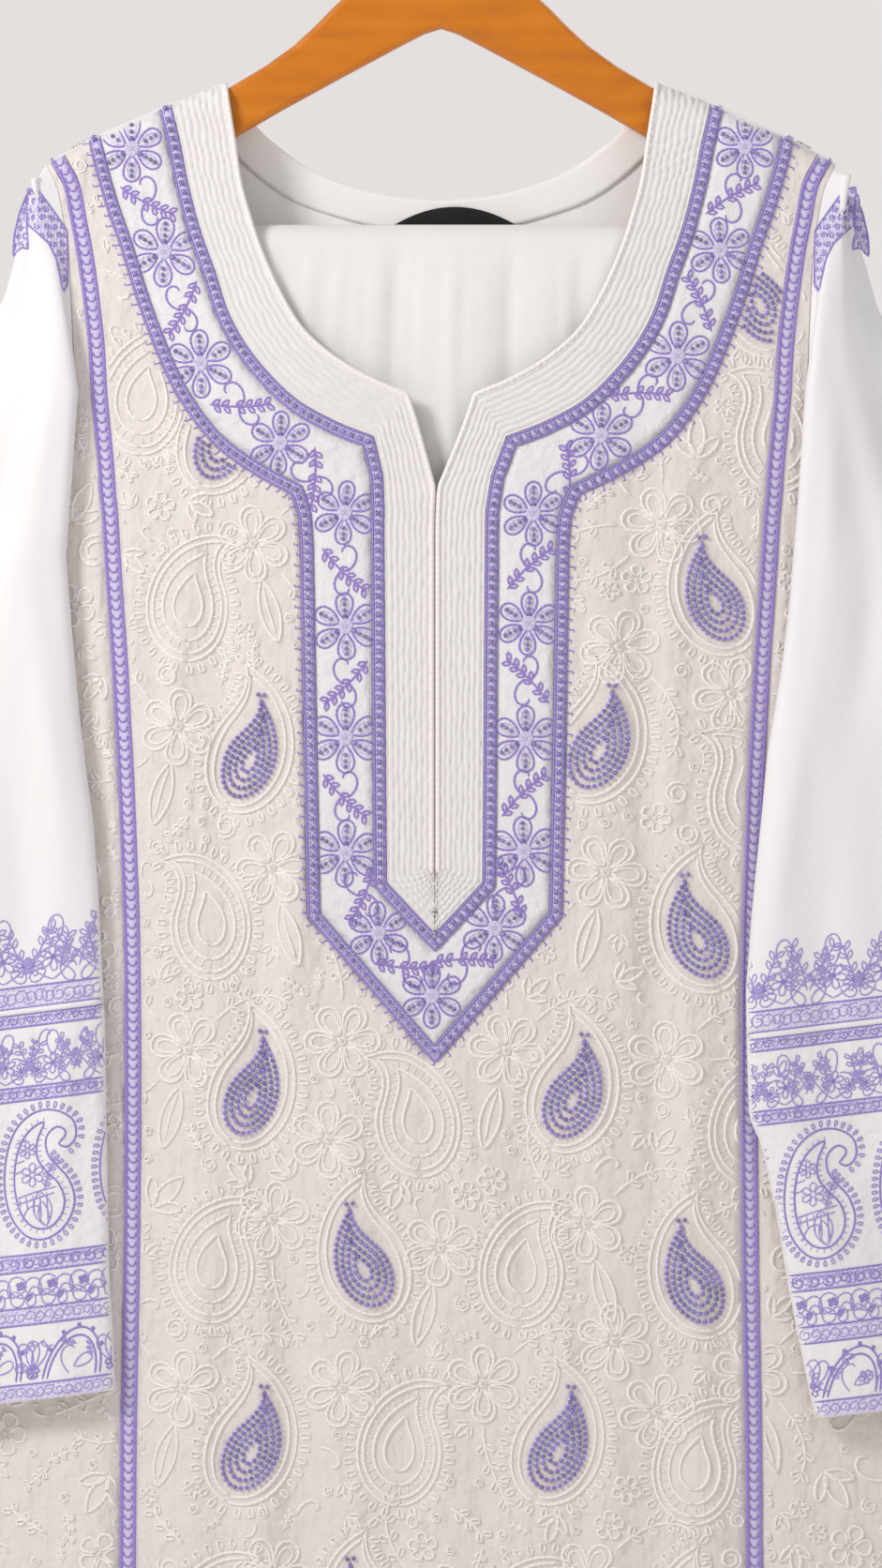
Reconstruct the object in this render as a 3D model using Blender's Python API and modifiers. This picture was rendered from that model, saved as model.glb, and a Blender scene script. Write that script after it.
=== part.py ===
"""Kurta and pants set on a wooden hanger.

Millimetres in the tables, metres in the meshes. +X is the viewer's right, -Y the front,
+Z up. The origin is the inside top of the hanger's hook, where a rail would carry it.
"""
import math

import bmesh
import bpy
from mathutils import Vector

MM = 0.001

# Cloth and seams
CLOTH_WALL = 1.2
SEAM_GAP = 0.3
HALF_GAP = SEAM_GAP / 2
TRIM_WIDTH = 5.4
TRIM_WALL = 2.0
STRIP_WIDTH = 7.2
STRIP_WALL = 1.8
RIB_COUNT = 8
RIB_HEIGHT = 0.9

# How far the cloth stands from the hanger's middle plane
ARM_ROUND = 8.0
FRONT_DEPTH = 22.0
BACK_DEPTH = 18.0
FRONT_FALL = 180.0
BACK_FALL = 60.0
SIDE_POWER = 3.0
HEM_HEIGHT = -1195.0
ARMPIT_HEIGHT = -386.0
PLACKET_LEAN = -3.0

# Sleeves
TUBE_DEPTH = 10.0
BODY_CLEARANCE = 2.0
FOLD_REACH = 4.0
SLEEVE_WALL = 1.2
SLEEVE_SEAM = 0.8
CAP_SEAM = 1.2
SLEEVE_MIDDLE = 216.0
SLEEVE_WAVE = 1.6
BORDER_START = -593.0

# Pants and hanger
BAR_HEIGHT = -222.6
BAR_RADIUS = 6.0
BAR_HALF_LENGTH = 151.5
PANT_WALL = 1.9
PANT_SEAT = 0.9
PANT_LAYER_GAP = 0.4
PANT_DROP_FRONT = -640.0
PANT_DROP_BACK = -625.0
WAISTBAND_DEPTH = 38.0
WAISTBAND_HALF_WIDTH = 148.0
WAISTBAND_GATHER = 0.9
ARM_THICKNESS = 11.0
ARM_BEVEL = 2.5
HOOK_RADIUS = 21.8
HOOK_WIRE = 1.8
COLLAR_RADIUS = 6.0
COLLAR_HEIGHT = 9.0

# Outer line of the shoulder: half width, height
SHOULDER_LINE = (
    (0.0, -108.0),
    (60.0, -128.0),
    (103.5, -144.6),
    (132.8, -155.8),
    (167.0, -170.8),
    (187.0, -181.6),
    (330.0, -262.0),
)

# Drops below the shoulder seam where the cloth rounds over the hanger's arm
SHOULDER_DROPS = (1.1, 4.0, 8.0)

# Front guide lines, a row for each station from the shoulder to the bottom of the V:
# neckline, yoke edge, border edge, seam strip and armhole or side edge, each as x, z
FRONT_GUIDES = (
    (103.5, -144.6, 132.8, -155.8, 167.0, -170.8, 180.5, -178.1, 187.0, -181.6),
    (99.5, -170.3, 128.7, -172.5, 163.4, -185.1, 178.0, -192.4, 184.8, -194.0),
    (96.3, -191.4, 124.7, -192.8, 158.9, -200.9, 174.5, -209.5, 181.5, -210.0),
    (92.3, -206.3, 118.8, -215.3, 151.5, -222.0, 171.0, -227.5, 179.0, -228.0),
    (86.9, -222.9, 111.6, -235.5, 144.9, -243.2, 168.0, -249.0, 177.8, -250.0),
    (77.9, -243.6, 104.0, -258.0, 137.0, -265.0, 165.6, -270.2, 176.8, -271.0),
    (66.6, -262.5, 91.0, -279.0, 125.0, -292.0, 164.3, -292.7, 176.5, -293.0),
    (51.8, -276.0, 72.0, -298.5, 108.0, -315.0, 162.5, -312.0, 178.0, -312.0),
    (34.7, -286.4, 52.0, -310.0, 88.0, -329.5, 161.0, -328.0, 181.0, -328.0),
    (15.8, -294.5, 34.2, -317.0, 66.6, -340.4, 160.2, -341.0, 185.0, -341.0),
    (8.0, -318.0, 29.0, -334.0, 62.5, -352.0, 159.0, -353.0, 191.0, -353.0),
    (0.0, -341.3, 27.4, -350.0, 61.4, -366.0, 158.2, -367.0, 200.0, -367.0),
    (0.0, -362.0, 27.3, -371.0, 61.1, -386.0, 157.0, -386.0, 215.0, -386.0),
    (0.0, -400.0, 27.0, -408.0, 60.5, -421.0, 154.5, -421.0, 213.5, -421.0),
    (0.0, -460.0, 26.6, -468.0, 59.3, -482.0, 151.2, -482.0, 209.5, -482.0),
    (0.0, -520.0, 26.1, -529.4, 58.1, -543.8, 148.8, -544.0, 208.0, -544.0),
    (0.0, -522.0, 13.0, -543.5, 29.0, -577.5, 148.2, -578.0, 209.5, -578.0),
    (0.0, -524.0, 0.0, -557.3, 0.0, -610.8, 148.1, -612.0, 212.0, -612.0),
)
ARMPIT_STATION = 12

# Below the V: height, strip half width, side half width
LOWER_STATIONS = (
    (-660.0, 148.1, 218.0),
    (-720.0, 148.7, 229.0),
    (-790.0, 150.1, 241.5),
    (-860.0, 150.5, 251.5),
    (-935.0, 151.8, 262.0),
    (-1010.0, 153.1, 272.5),
    (-1080.0, 154.7, 282.0),
    (-1140.0, 156.2, 290.5),
    (HEM_HEIGHT, 157.5, 298.0),
)

# Half width of the body at each height, for how its depth dies away to the side seam
SIDE_WIDTHS = (
    (-1195.0, 298.0),
    (-1010.0, 272.5),
    (-790.0, 241.5),
    (-660.0, 218.0),
    (-612.0, 212.0),
    (-544.0, 208.0),
    (-482.0, 209.5),
    (-421.0, 213.5),
    (-386.0, 215.0),
    (-100.0, 215.0),
)

# Soft folds in the hanging cloth: x, width, height at the hem, height where it starts
FRONT_FOLDS = (
    (-122.0, 24.0, 8.0, -480.0),
    (-80.0, 20.0, 7.0, -560.0),
    (-40.0, 20.0, 8.5, -640.0),
    (2.0, 22.0, 7.0, -620.0),
    (44.0, 20.0, 8.5, -640.0),
    (84.0, 18.0, 7.5, -500.0),
    (126.0, 22.0, 9.0, -420.0),
)
BACK_FOLDS = (
    (-150.0, 26.0, 7.5, -480.0),
    (-84.0, 24.0, 7.0, -560.0),
    (-28.0, 24.0, 8.0, -420.0),
    (30.0, 22.0, 6.5, -600.0),
    (88.0, 24.0, 8.0, -520.0),
    (152.0, 26.0, 7.0, -460.0),
)

# Back neckline and the lower edge of its facing: half width, height
BACK_NECK = (
    (0.0, -198.6),
    (30.0, -195.2),
    (60.0, -185.0),
    (84.0, -168.5),
    (97.0, -153.5),
    (103.5, -144.6),
)
BACK_COLUMNS = (
    0.0, 30.0, 60.0, 84.0, 97.0, 100.2, 102.4, 103.5, 125.0, 147.0, 167.0, 187.0,
)

# The facing lies on the back's own points: rows used, share of the next one, columns left out
FACING_ROWS = 5
FACING_LAST_SHARE = 0.35
FACING_MARGIN = 7
FACING_GAP = 0.6
FACING_WALL = 1.0
LABEL_CENTRE = 6.8
LABEL_HALF_WIDTH = 31.5
LABEL_TOP = -201.8
LABEL_BOTTOM = -240.0
LABEL_WALL = 0.8
LABEL_INWARD = 2.4

# Sleeves by side: height with the half width of the inner fold, then of the outer fold
SLEEVES = {
    "left": {
        "sign": -1,
        "tilt": -0.126,
        "cuff": -779.0,
        "inner": (
            (-771.5, 154.4), (-708.0, 157.5), (-667.5, 158.4), (-593.3, 159.8),
            (-532.5, 162.9), (-498.8, 165.6), (-447.0, 172.4), (-420.0, 175.0),
            (-371.4, 179.1), (-339.0, 176.5), (-293.0, 173.3), (-181.6, 187.0),
        ),
        "outer": (
            (-790.0, 284.0), (-645.0, 288.0), (-555.0, 289.0), (-474.0, 286.0),
            (-420.0, 280.0), (-371.0, 269.0), (-330.0, 254.0), (-285.0, 234.0),
            (-243.0, 211.5), (-220.0, 204.8), (-202.0, 200.7), (-191.4, 196.7),
            (-181.6, 188.0),
        ),
    },
    "right": {
        "sign": 1,
        "tilt": 0.12,
        "cuff": -781.0,
        "inner": (
            (-787.7, 178.2), (-748.5, 170.1), (-721.5, 164.7), (-687.8, 159.3),
            (-655.0, 152.0), (-640.5, 145.8), (-579.8, 144.5), (-546.0, 147.2),
            (-465.0, 155.3), (-426.8, 162.0), (-393.0, 166.0), (-352.5, 169.7),
            (-293.0, 174.0), (-181.6, 187.0),
        ),
        "outer": (
            (-790.0, 307.0), (-721.5, 294.8), (-640.5, 280.0), (-555.0, 273.6),
            (-465.0, 272.7), (-393.0, 266.4), (-352.5, 256.5), (-292.7, 234.0),
            (-250.8, 212.0), (-229.0, 205.7), (-213.0, 200.3), (-199.5, 194.9),
            (-181.6, 188.0),
        ),
    },
}
SLEEVE_LEVELS = (-408.0, -435.0, -468.0, -505.0, -548.0, BORDER_START)
BORDER_LEVELS = (-640.0, -688.0, -734.0)

# Points put between the section controls of a sleeve, from back seam round to front seam
SLEEVE_STEPS = (2, 1, 1, 1, 1, 2, 2, 2, 1, 1, 1, 1, 2)

# Hanger arm outline: half width, height, along the top and back along the underside
ARM_TOP = (
    (0.0, -78.0), (14.0, -79.0), (28.0, -86.0), (40.0, -96.0), (52.0, -107.0), (61.0, -116.2),
    (71.0, -125.4), (84.6, -135.2), (103.5, -146.5), (132.8, -157.8), (158.0, -168.8),
    (176.0, -177.8), (180.5, -182.2),
)
ARM_LOW = (
    (183.0, -190.0), (183.5, -205.0), (180.5, -222.0), (172.0, -231.5), (160.0, -232.5),
    (153.5, -226.0), (151.5, -214.0), (146.0, -203.0), (133.0, -189.5), (116.0, -178.2),
    (99.5, -169.6), (76.5, -156.3), (49.5, -141.5), (22.5, -127.0), (8.0, -119.5),
    (0.0, -117.0),
)

SET_COLLECTION = "kurta_pant_set"


def clear_scene():
    for item in list(bpy.data.objects):
        bpy.data.objects.remove(item, do_unlink=True)


def make_collection(name):
    collection = bpy.data.collections.new(name)
    bpy.context.scene.collection.children.link(collection)
    return collection


def make_material(name, colour, roughness, metallic=0.0):
    material = bpy.data.materials.new(name)
    material.use_nodes = True
    shader = material.node_tree.nodes["Principled BSDF"]
    shader.inputs["Base Color"].default_value = (*colour, 1.0)
    shader.inputs["Roughness"].default_value = roughness
    shader.inputs["Metallic"].default_value = metallic
    return material


def mix(first, second, share):
    return tuple(a + (b - a) * share for a, b in zip(first, second))


def smooth_step(value):
    value = min(1.0, max(0.0, value))
    return value * value * (3 - 2 * value)


def lookup(table, value):
    """Straight interpolation in a table of (key, result), keys in either order."""
    rows = sorted(table)
    if value <= rows[0][0]:
        return rows[0][1]
    for (low, at_low), (high, at_high) in zip(rows, rows[1:]):
        if value <= high:
            return at_low + (at_high - at_low) * (value - low) / (high - low)
    return rows[-1][1]


# The hanging cloth's depth
def shoulder_drop(x, z):
    return max(0.0, lookup(SHOULDER_LINE, abs(x)) - z)


def arm_angle(drop):
    """Angle round the hanger's arm, from 0 on the shoulder seam to a right angle below it."""
    if drop >= ARM_ROUND:
        return math.pi / 2
    return math.acos(1 - drop / ARM_ROUND)


def fold_depth(folds, x, z):
    total = 0.0
    for centre, width, height, start in folds:
        growth = smooth_step((start - z) / (start - HEM_HEIGHT))
        total += height * growth * math.exp(-((x - centre) / width) ** 2 * 2)
    return total


def cloth_depth(x, z, full_depth, fall, folds):
    drop = shoulder_drop(x, z)
    hang = (full_depth - ARM_ROUND) * smooth_step(drop / fall)
    depth = ARM_ROUND * math.sin(arm_angle(drop)) + hang + fold_depth(folds, x, z)
    closing = smooth_step((-230.0 - z) / (-230.0 - ARMPIT_HEIGHT))
    reach = min(1.0, abs(x) / lookup(SIDE_WIDTHS, z))
    return depth * (1 - closing * reach ** SIDE_POWER)


def front_depth(x, z):
    return cloth_depth(x, z, FRONT_DEPTH, FRONT_FALL, FRONT_FOLDS)


def back_depth(x, z):
    return cloth_depth(x, z, BACK_DEPTH, BACK_FALL, BACK_FOLDS)


def placket_lean(x, z):
    down = smooth_step((-300.0 - z) / 60.0) * smooth_step((z + 700.0) / 80.0)
    across = 1 - smooth_step((abs(x) - 70.0) / 60.0)
    return PLACKET_LEAN * down * across


def front_point(x, z, lift):
    angle = arm_angle(shoulder_drop(x, z))
    depth = HALF_GAP + front_depth(x, z)
    place_x = x + placket_lean(x, z)
    return (place_x, -depth - lift * math.sin(angle), z + lift * math.cos(angle))


def back_point(x, z, lift):
    angle = arm_angle(shoulder_drop(x, z))
    depth = HALF_GAP + back_depth(x, z)
    return (x, depth + lift * math.sin(angle), z + lift * math.cos(angle))


# Guide lines
def guide(column):
    """One guide line of the front, with the rows that round it over the shoulder."""
    line = [(row[column], row[column + 1]) for row in FRONT_GUIDES]
    first, second = line[0], line[1]
    full_drop = shoulder_drop(*second)
    rounding = [mix(first, second, drop / full_drop) for drop in SHOULDER_DROPS]
    return [first] + rounding + line[1:]


def side_normal(start, end):
    along = Vector((end[0] - start[0], end[1] - start[1])).normalized()
    return Vector((-along.y, along.x))


def shifted(line, distance, on_centre=False):
    """The line moved outward in the plane of the front, mitred at its points."""
    moved = []
    for index, point in enumerate(line):
        before = side_normal(line[max(0, index - 1)], line[max(1, index)])
        last = index == len(line) - 1
        after = before if last else side_normal(point, line[index + 1])
        if last and on_centre:
            after = Vector((-before.x, before.y))
        normal = (before + after).normalized()
        stretch = distance / max(0.5, normal.dot(before))
        moved.append((point[0] + normal.x * stretch, point[1] + normal.y * stretch))
    moved[0] = (moved[0][0], lookup(SHOULDER_LINE, moved[0][0]))
    return moved


def between(inner_line, outer_line, columns):
    return [
        [mix(inner, outer, column / columns) for column in range(columns + 1)]
        for inner, outer in zip(inner_line, outer_line)
    ]


def mirrored(rows):
    return [[(-x, z) for x, z in row] for row in rows]


def both_halves(rows):
    """Rows of the right half, then the left half's rows back up from the shared last row."""
    return rows + mirrored(rows[:-1])[::-1]


# Solids
def finish_object(name, mesh, material, collection):
    made = bpy.data.objects.new(name, mesh)
    collection.objects.link(made)
    mesh.materials.append(material)
    mesh.shade_smooth()
    mesh.set_sharp_from_angle(angle=math.radians(40))
    return made


def add_patch(bm, outer_layer, inner_points, outer_points):
    rows = []
    for inner_row, outer_row in zip(inner_points, outer_points):
        made = []
        for inner, outer in zip(inner_row, outer_row):
            vertex = bm.verts.new(Vector(inner) * MM)
            vertex[outer_layer] = Vector(outer) * MM
            made.append(vertex)
        rows.append(made)
    for upper, lower in zip(rows, rows[1:]):
        for column in range(len(upper) - 1):
            bm.faces.new((upper[column], upper[column + 1], lower[column + 1], lower[column]))


def wall(name, patches, material, collection):
    """A closed wall between the inner and outer points of one or more joined patches."""
    bm = bmesh.new()
    outer_layer = bm.verts.layers.float_vector.new("outer")
    for inner_points, outer_points in patches:
        add_patch(bm, outer_layer, inner_points, outer_points)
    bmesh.ops.remove_doubles(bm, verts=bm.verts[:], dist=0.00002)
    extruded = bmesh.ops.extrude_face_region(bm, geom=bm.faces[:], use_keep_orig=True)
    for item in extruded["geom"]:
        if isinstance(item, bmesh.types.BMVert):
            item.co = item[outer_layer]
    bmesh.ops.recalc_face_normals(bm, faces=bm.faces[:])
    mesh = bpy.data.meshes.new(name)
    bm.to_mesh(mesh)
    bm.free()
    return finish_object(name, mesh, material, collection)


def patch(rows, place, inner_lift, outer_lift):
    """Inner and outer points of plane rows on the front or back surface."""
    inner_points = [[place(x, z, inner_lift) for x, z in row] for row in rows]
    outer_points = [
        [place(x, z, outer_lift(column)) for column, (x, z) in enumerate(row)] for row in rows
    ]
    return inner_points, outer_points


def plain(thickness):
    return lambda column: thickness


# Kurta front
def build_front(materials, collection):
    neck, yoke, border, strip, edge = (guide(column) for column in (0, 2, 4, 6, 8))
    half_trim = TRIM_WIDTH / 2
    panel_offset = half_trim + SEAM_GAP
    neck_edge = [(max(x, HALF_GAP), z) for x, z in neck]
    yoke_edge = [(max(x, HALF_GAP), z) for x, z in shifted(yoke, -panel_offset, True)]
    yoke_rows = between(neck_edge, yoke_edge, 2 * RIB_COUNT)

    def ribbed(column):
        return CLOTH_WALL + RIB_HEIGHT * (column % 2)

    for side, rows in (("right", yoke_rows), ("left", mirrored(yoke_rows))):
        ribs = patch(rows, front_point, 0.0, ribbed)
        wall("neck_yoke_" + side, [ribs], materials["cloth"], collection)

    bands = (
        ("neck_trim_inner", yoke, -half_trim, yoke, half_trim, 1, TRIM_WALL, "trim"),
        ("neck_border", yoke, panel_offset, border, -panel_offset, 2, CLOTH_WALL, "cloth"),
        ("neck_trim_outer", border, -half_trim, border, half_trim, 1, TRIM_WALL, "trim"),
    )
    for name, inner, inner_move, outer, outer_move, columns, thickness, finish in bands:
        inner_line = shifted(inner, inner_move, True)
        outer_line = shifted(outer, outer_move, True)
        rows = both_halves(between(inner_line, outer_line, columns))
        band = patch(rows, front_point, 0.0, plain(thickness))
        wall(name, [band], materials[finish], collection)

    half_strip = STRIP_WIDTH / 2
    lower_strip = [(row[1], row[0]) for row in LOWER_STATIONS]
    lower_side = [(row[2], row[0]) for row in LOWER_STATIONS]
    lower_centre = [(0.0, row[0]) for row in LOWER_STATIONS]
    strip_line = strip + lower_strip
    centre_line = shifted(border, panel_offset, True) + lower_centre
    centre_rows = between(centre_line, shifted(strip_line, -half_strip - SEAM_GAP), 9)
    halves = [
        patch(rows, front_point, 0.0, plain(CLOTH_WALL))
        for rows in (centre_rows, mirrored(centre_rows))
    ]
    wall("kurta_front_centre", halves, materials["cloth"], collection)

    strip_rows = between(shifted(strip_line, -half_strip), shifted(strip_line, half_strip), 1)
    side_line = shifted(strip_line, half_strip + SEAM_GAP)
    side_rows = between(side_line, edge + lower_side, 2)
    for side, turn in (("right", list), ("left", mirrored)):
        band = patch(turn(strip_rows), front_point, 0.0, plain(STRIP_WALL))
        wall("seam_strip_" + side, [band], materials["trim"], collection)
        panel = patch(turn(side_rows), front_point, 0.0, plain(CLOTH_WALL))
        wall("kurta_front_side_" + side, [panel], materials["cloth"], collection)


# Kurta back
def back_rows():
    edge = guide(8) + [(row[2], row[0]) for row in LOWER_STATIONS]
    armpit = ARMPIT_STATION + len(SHOULDER_DROPS)
    tip_width, tip_height = edge[0]
    columns = [-x for x in BACK_COLUMNS[:0:-1]] + list(BACK_COLUMNS)
    rows = []
    for index, (edge_x, edge_z) in enumerate(edge):
        share = (edge_z - tip_height) / (ARMPIT_HEIGHT - tip_height)
        row = []
        for column in columns:
            on_neck = abs(column) < BACK_NECK[-1][0]
            top = lookup(BACK_NECK if on_neck else SHOULDER_LINE, abs(column))
            height = edge_z if index >= armpit else top + (ARMPIT_HEIGHT - top) * share
            row.append((column / tip_width * edge_x, height))
        rows.append(row)
    return rows


def build_back(materials, collection):
    rows = back_rows()
    back = patch(rows, back_point, 0.0, plain(CLOTH_WALL))
    wall("kurta_back", [back], materials["cloth"], collection)

    inner_points = [[back_point(x, z, 0.0) for x, z in row] for row in rows]
    low_row = [
        mix(upper, lower, FACING_LAST_SHARE)
        for upper, lower in zip(inner_points[FACING_ROWS - 1], inner_points[FACING_ROWS])
    ]
    facing_rows = [
        row[FACING_MARGIN:-FACING_MARGIN] for row in inner_points[:FACING_ROWS] + [low_row]
    ]
    facing = tuple(
        [[(x, y - inward, z) for x, y, z in row] for row in facing_rows]
        for inward in (FACING_GAP + FACING_WALL, FACING_GAP)
    )
    wall("back_neck_facing", [facing], materials["cloth"], collection)

    steps = 3
    label_columns = 6
    label_rows = []
    for step in range(steps + 1):
        row = []
        for column in range(label_columns + 1):
            across = 2 * column / label_columns - 1
            top = LABEL_TOP - 5.0 * across ** 4
            height = top + (LABEL_BOTTOM - top) * step / steps
            row.append((LABEL_CENTRE + LABEL_HALF_WIDTH * across, height))
        label_rows.append(row)
    label = patch(label_rows, back_point, -LABEL_INWARD - LABEL_WALL, plain(-LABEL_INWARD))
    wall("neck_label", [label], materials["label"], collection)


# Sleeves
def sleeve_top_row(edge):
    """Section controls of the armhole seam where it passes over the hanger's arm."""
    tip_x, tip_z = edge[0]
    low_x = edge[len(SHOULDER_DROPS)][0]
    angles = (90, 60, 30, 12, 0, -12, -30, -45, -60, -68, -75, -80, -85, -90)
    radius = ARM_ROUND + CLOTH_WALL
    controls = []
    for degrees in angles:
        turn = math.radians(degrees)
        fall = ARM_ROUND * (1 - math.cos(turn))
        x = tip_x + (low_x - tip_x) * fall / ARM_ROUND + CAP_SEAM
        y = radius * math.sin(turn) + math.copysign(HALF_GAP, degrees) * abs(math.sin(turn))
        controls.append((x, y, tip_z - fall + CLOTH_WALL * math.cos(turn)))
    return controls


def sleeve_row(table, seam_x, seam_z, level, closed):
    """Section controls of the sleeve at one level, from the back seam round to the front."""
    rolled = smooth_step((-205.0 - level) / 90.0)
    tilt = table["tilt"] * smooth_step((-200.0 - level) / 170.0)
    inner_x = lookup(table["inner"], level)
    inner_z = seam_z - tilt * (seam_x - inner_x)
    inner_x = lookup(table["inner"], inner_z)
    outer_x = lookup(table["outer"], seam_z + 3.0)

    def height(x):
        return seam_z + tilt * (x - seam_x) + 3.0 * (1 - rolled) * (x - seam_x) / (outer_x - seam_x)

    def body_front(x):
        return -front_depth(x, height(x)) - HALF_GAP - CLOTH_WALL

    def lower_back(x):
        return body_front(x) - BODY_CLEARANCE

    below = smooth_step((-340.0 - level) / (-340.0 - ARMPIT_HEIGHT))
    seam_front = body_front(seam_x) - 0.5 * rolled
    seam_back = back_depth(seam_x, seam_z) + HALF_GAP + CLOTH_WALL
    start = (seam_x, seam_back, seam_z)
    end = (seam_x, seam_front, seam_z)
    if closed:
        start = end = (seam_x, lower_back(seam_x), seam_z)
    fold_out_back = 5.0 + (lower_back(outer_x) - 5.0) * below
    fold_out_front = -5.0 + (lower_back(outer_x) - TUBE_DEPTH + 5.0) * below
    front_in = lower_back(inner_x) - TUBE_DEPTH
    fold_end = inner_x + FOLD_REACH
    roll_z = height(inner_x)
    rolled_controls = (
        (fold_end, front_in, height(fold_end)),
        (inner_x + 1.2, front_in + TUBE_DEPTH * 0.2, roll_z),
        (inner_x, front_in + TUBE_DEPTH * 0.5, roll_z),
        (inner_x + 1.2, front_in + TUBE_DEPTH * 0.8, roll_z),
        (fold_end, lower_back(fold_end), height(fold_end)),
    )
    flat_front = (seam_x + 12.0, seam_front - 2.5, height(seam_x + 12.0))
    near = mix(flat_front, rolled_controls[0], rolled)
    controls = [start]
    middle_x = (seam_x + outer_x) / 2
    middle_y = (start[1] + fold_out_back) / 2
    if closed:
        middle_y = lower_back(middle_x)
    middle_y += 2.5 * (1 - below)
    controls.append((middle_x, middle_y, height(middle_x)))
    lip = min(5.0, (outer_x - seam_x) / 3)
    controls.append((outer_x - lip, fold_out_back, height(outer_x - lip)))
    tip_back = fold_out_back + (fold_out_front - fold_out_back) * 0.25
    tip_front = fold_out_back + (fold_out_front - fold_out_back) * 0.75
    controls.append((outer_x - lip * 0.25, tip_back, height(outer_x)))
    controls.append((outer_x - lip * 0.25, tip_front, height(outer_x)))
    controls.append((outer_x - lip, fold_out_front, height(outer_x - lip)))
    first_front = controls[-1]
    for share, wave in ((0.33, -1.0), (0.67, 1.0)):
        x, y, z = mix(first_front, near, share)
        crown = 3.0 + SLEEVE_WAVE * wave * below
        controls.append((x, y - crown, z))
    controls.append(near)
    last_flat = near
    for share, control in zip((0.25, 0.5, 0.75, 0.9), rolled_controls[1:]):
        flat = mix(last_flat, end, share)
        controls.append(mix(flat, control, rolled))
    controls.append(end)
    return controls


def section_points(controls, steps):
    points = []
    for (start, end), count in zip(zip(controls, controls[1:]), steps):
        points += [mix(start, end, step / count) for step in range(count)]
    return points + [controls[-1]]


def sleeve_shell(name, sections, sign, closed_from, material, collection):
    """An open surface through the sections, a tube from the row closed_from on, with Solidify."""
    bm = bmesh.new()
    rows = []
    for index, section in enumerate(sections):
        points = section[:-1] if index >= closed_from else section
        row = [bm.verts.new(Vector((sign * x, y, z)) * MM) for x, y, z in points]
        if index >= closed_from:
            row.append(row[0])
        rows.append(row)
    for upper, lower in zip(rows, rows[1:]):
        for column in range(len(upper) - 1):
            corners = [upper[column], upper[column + 1], lower[column + 1], lower[column]]
            if sign < 0:
                corners.reverse()
            bm.faces.new(corners)
    mesh = bpy.data.meshes.new(name)
    bm.to_mesh(mesh)
    bm.free()
    made = finish_object(name, mesh, material, collection)
    shell = made.modifiers.new("cloth", "SOLIDIFY")
    shell.thickness = SLEEVE_WALL * MM
    shell.offset = -1.0
    return made


def build_sleeves(materials, collection):
    edge = guide(8)
    armpit = ARMPIT_STATION + len(SHOULDER_DROPS)
    for side, table in SLEEVES.items():
        controls = [sleeve_top_row(edge)]
        for edge_x, edge_z in edge[len(SHOULDER_DROPS) + 1:armpit]:
            seam_x = edge_x + SLEEVE_SEAM * (1 + smooth_step((-330.0 - edge_z) / 50.0))
            controls.append(sleeve_row(table, seam_x, edge_z, edge_z, False))
        closed_from = len(controls)
        armpit_x = edge[armpit][0] + 2 * SLEEVE_SEAM
        controls.append(sleeve_row(table, armpit_x, ARMPIT_HEIGHT, ARMPIT_HEIGHT, True))
        for level in SLEEVE_LEVELS:
            controls.append(sleeve_row(table, SLEEVE_MIDDLE, level, level, True))
        sections = [section_points(row, SLEEVE_STEPS) for row in controls]
        sleeve_shell("sleeve_" + side, sections, table["sign"], closed_from,
                     materials["sleeve"], collection)

        border = []
        for level in (BORDER_START - SEAM_GAP, *BORDER_LEVELS, table["cuff"]):
            row = sleeve_row(table, SLEEVE_MIDDLE, level, level, True)
            border.append(section_points(row, SLEEVE_STEPS))
        sleeve_shell("sleeve_border_" + side, border, table["sign"], 0,
                     materials["sleeve"], collection)


# Pants folded over the bar
def pant_half_width(z, front):
    if front:
        return lookup(((-640.0, 150.0), (-400.0, 136.0), (-222.0, 124.0)), z)
    return lookup(((-640.0, 112.0), (-222.0, 124.0)), z)


def pant_wave(across, z, front):
    """Soft gathers of the pants, in millimetres out from the middle plane, never inward."""
    if not front:
        return 0.4 * (1 + math.sin(across * 7.0))
    fade = 0.35 + 0.65 * smooth_step((-222.0 - z) / 40.0)
    return fade * (0.7 * (1 + math.sin(across * 11.0 + 0.6)) + 0.4 * (1 + math.sin(across * 19.0)))


def pant_path(radius, front_end, back_end):
    """Stations over the bar, front end first: y, z, height read for the width, on the front."""
    path = []
    for step in range(7):
        z = front_end + (BAR_HEIGHT - front_end) * step / 7
        path.append((-radius, z, z, True))
    for step in range(7):
        turn = math.pi * step / 6
        y = -radius * math.cos(turn)
        path.append((y, BAR_HEIGHT + radius * math.sin(turn), BAR_HEIGHT, turn < math.pi / 2))
    for step in range(1, 6):
        z = BAR_HEIGHT + (back_end - BAR_HEIGHT) * step / 5
        path.append((radius, z, z, False))
    return path


def pant_points(radius, columns):
    rows = []
    for y, z, width_z, front in pant_path(radius, PANT_DROP_FRONT, PANT_DROP_BACK):
        row = []
        for column in range(columns + 1):
            across = 2 * column / columns - 1
            wave = pant_wave(across, width_z, front) * y / radius
            row.append((across * pant_half_width(width_z, front), y + wave, z))
        rows.append(row)
    return rows


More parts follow.
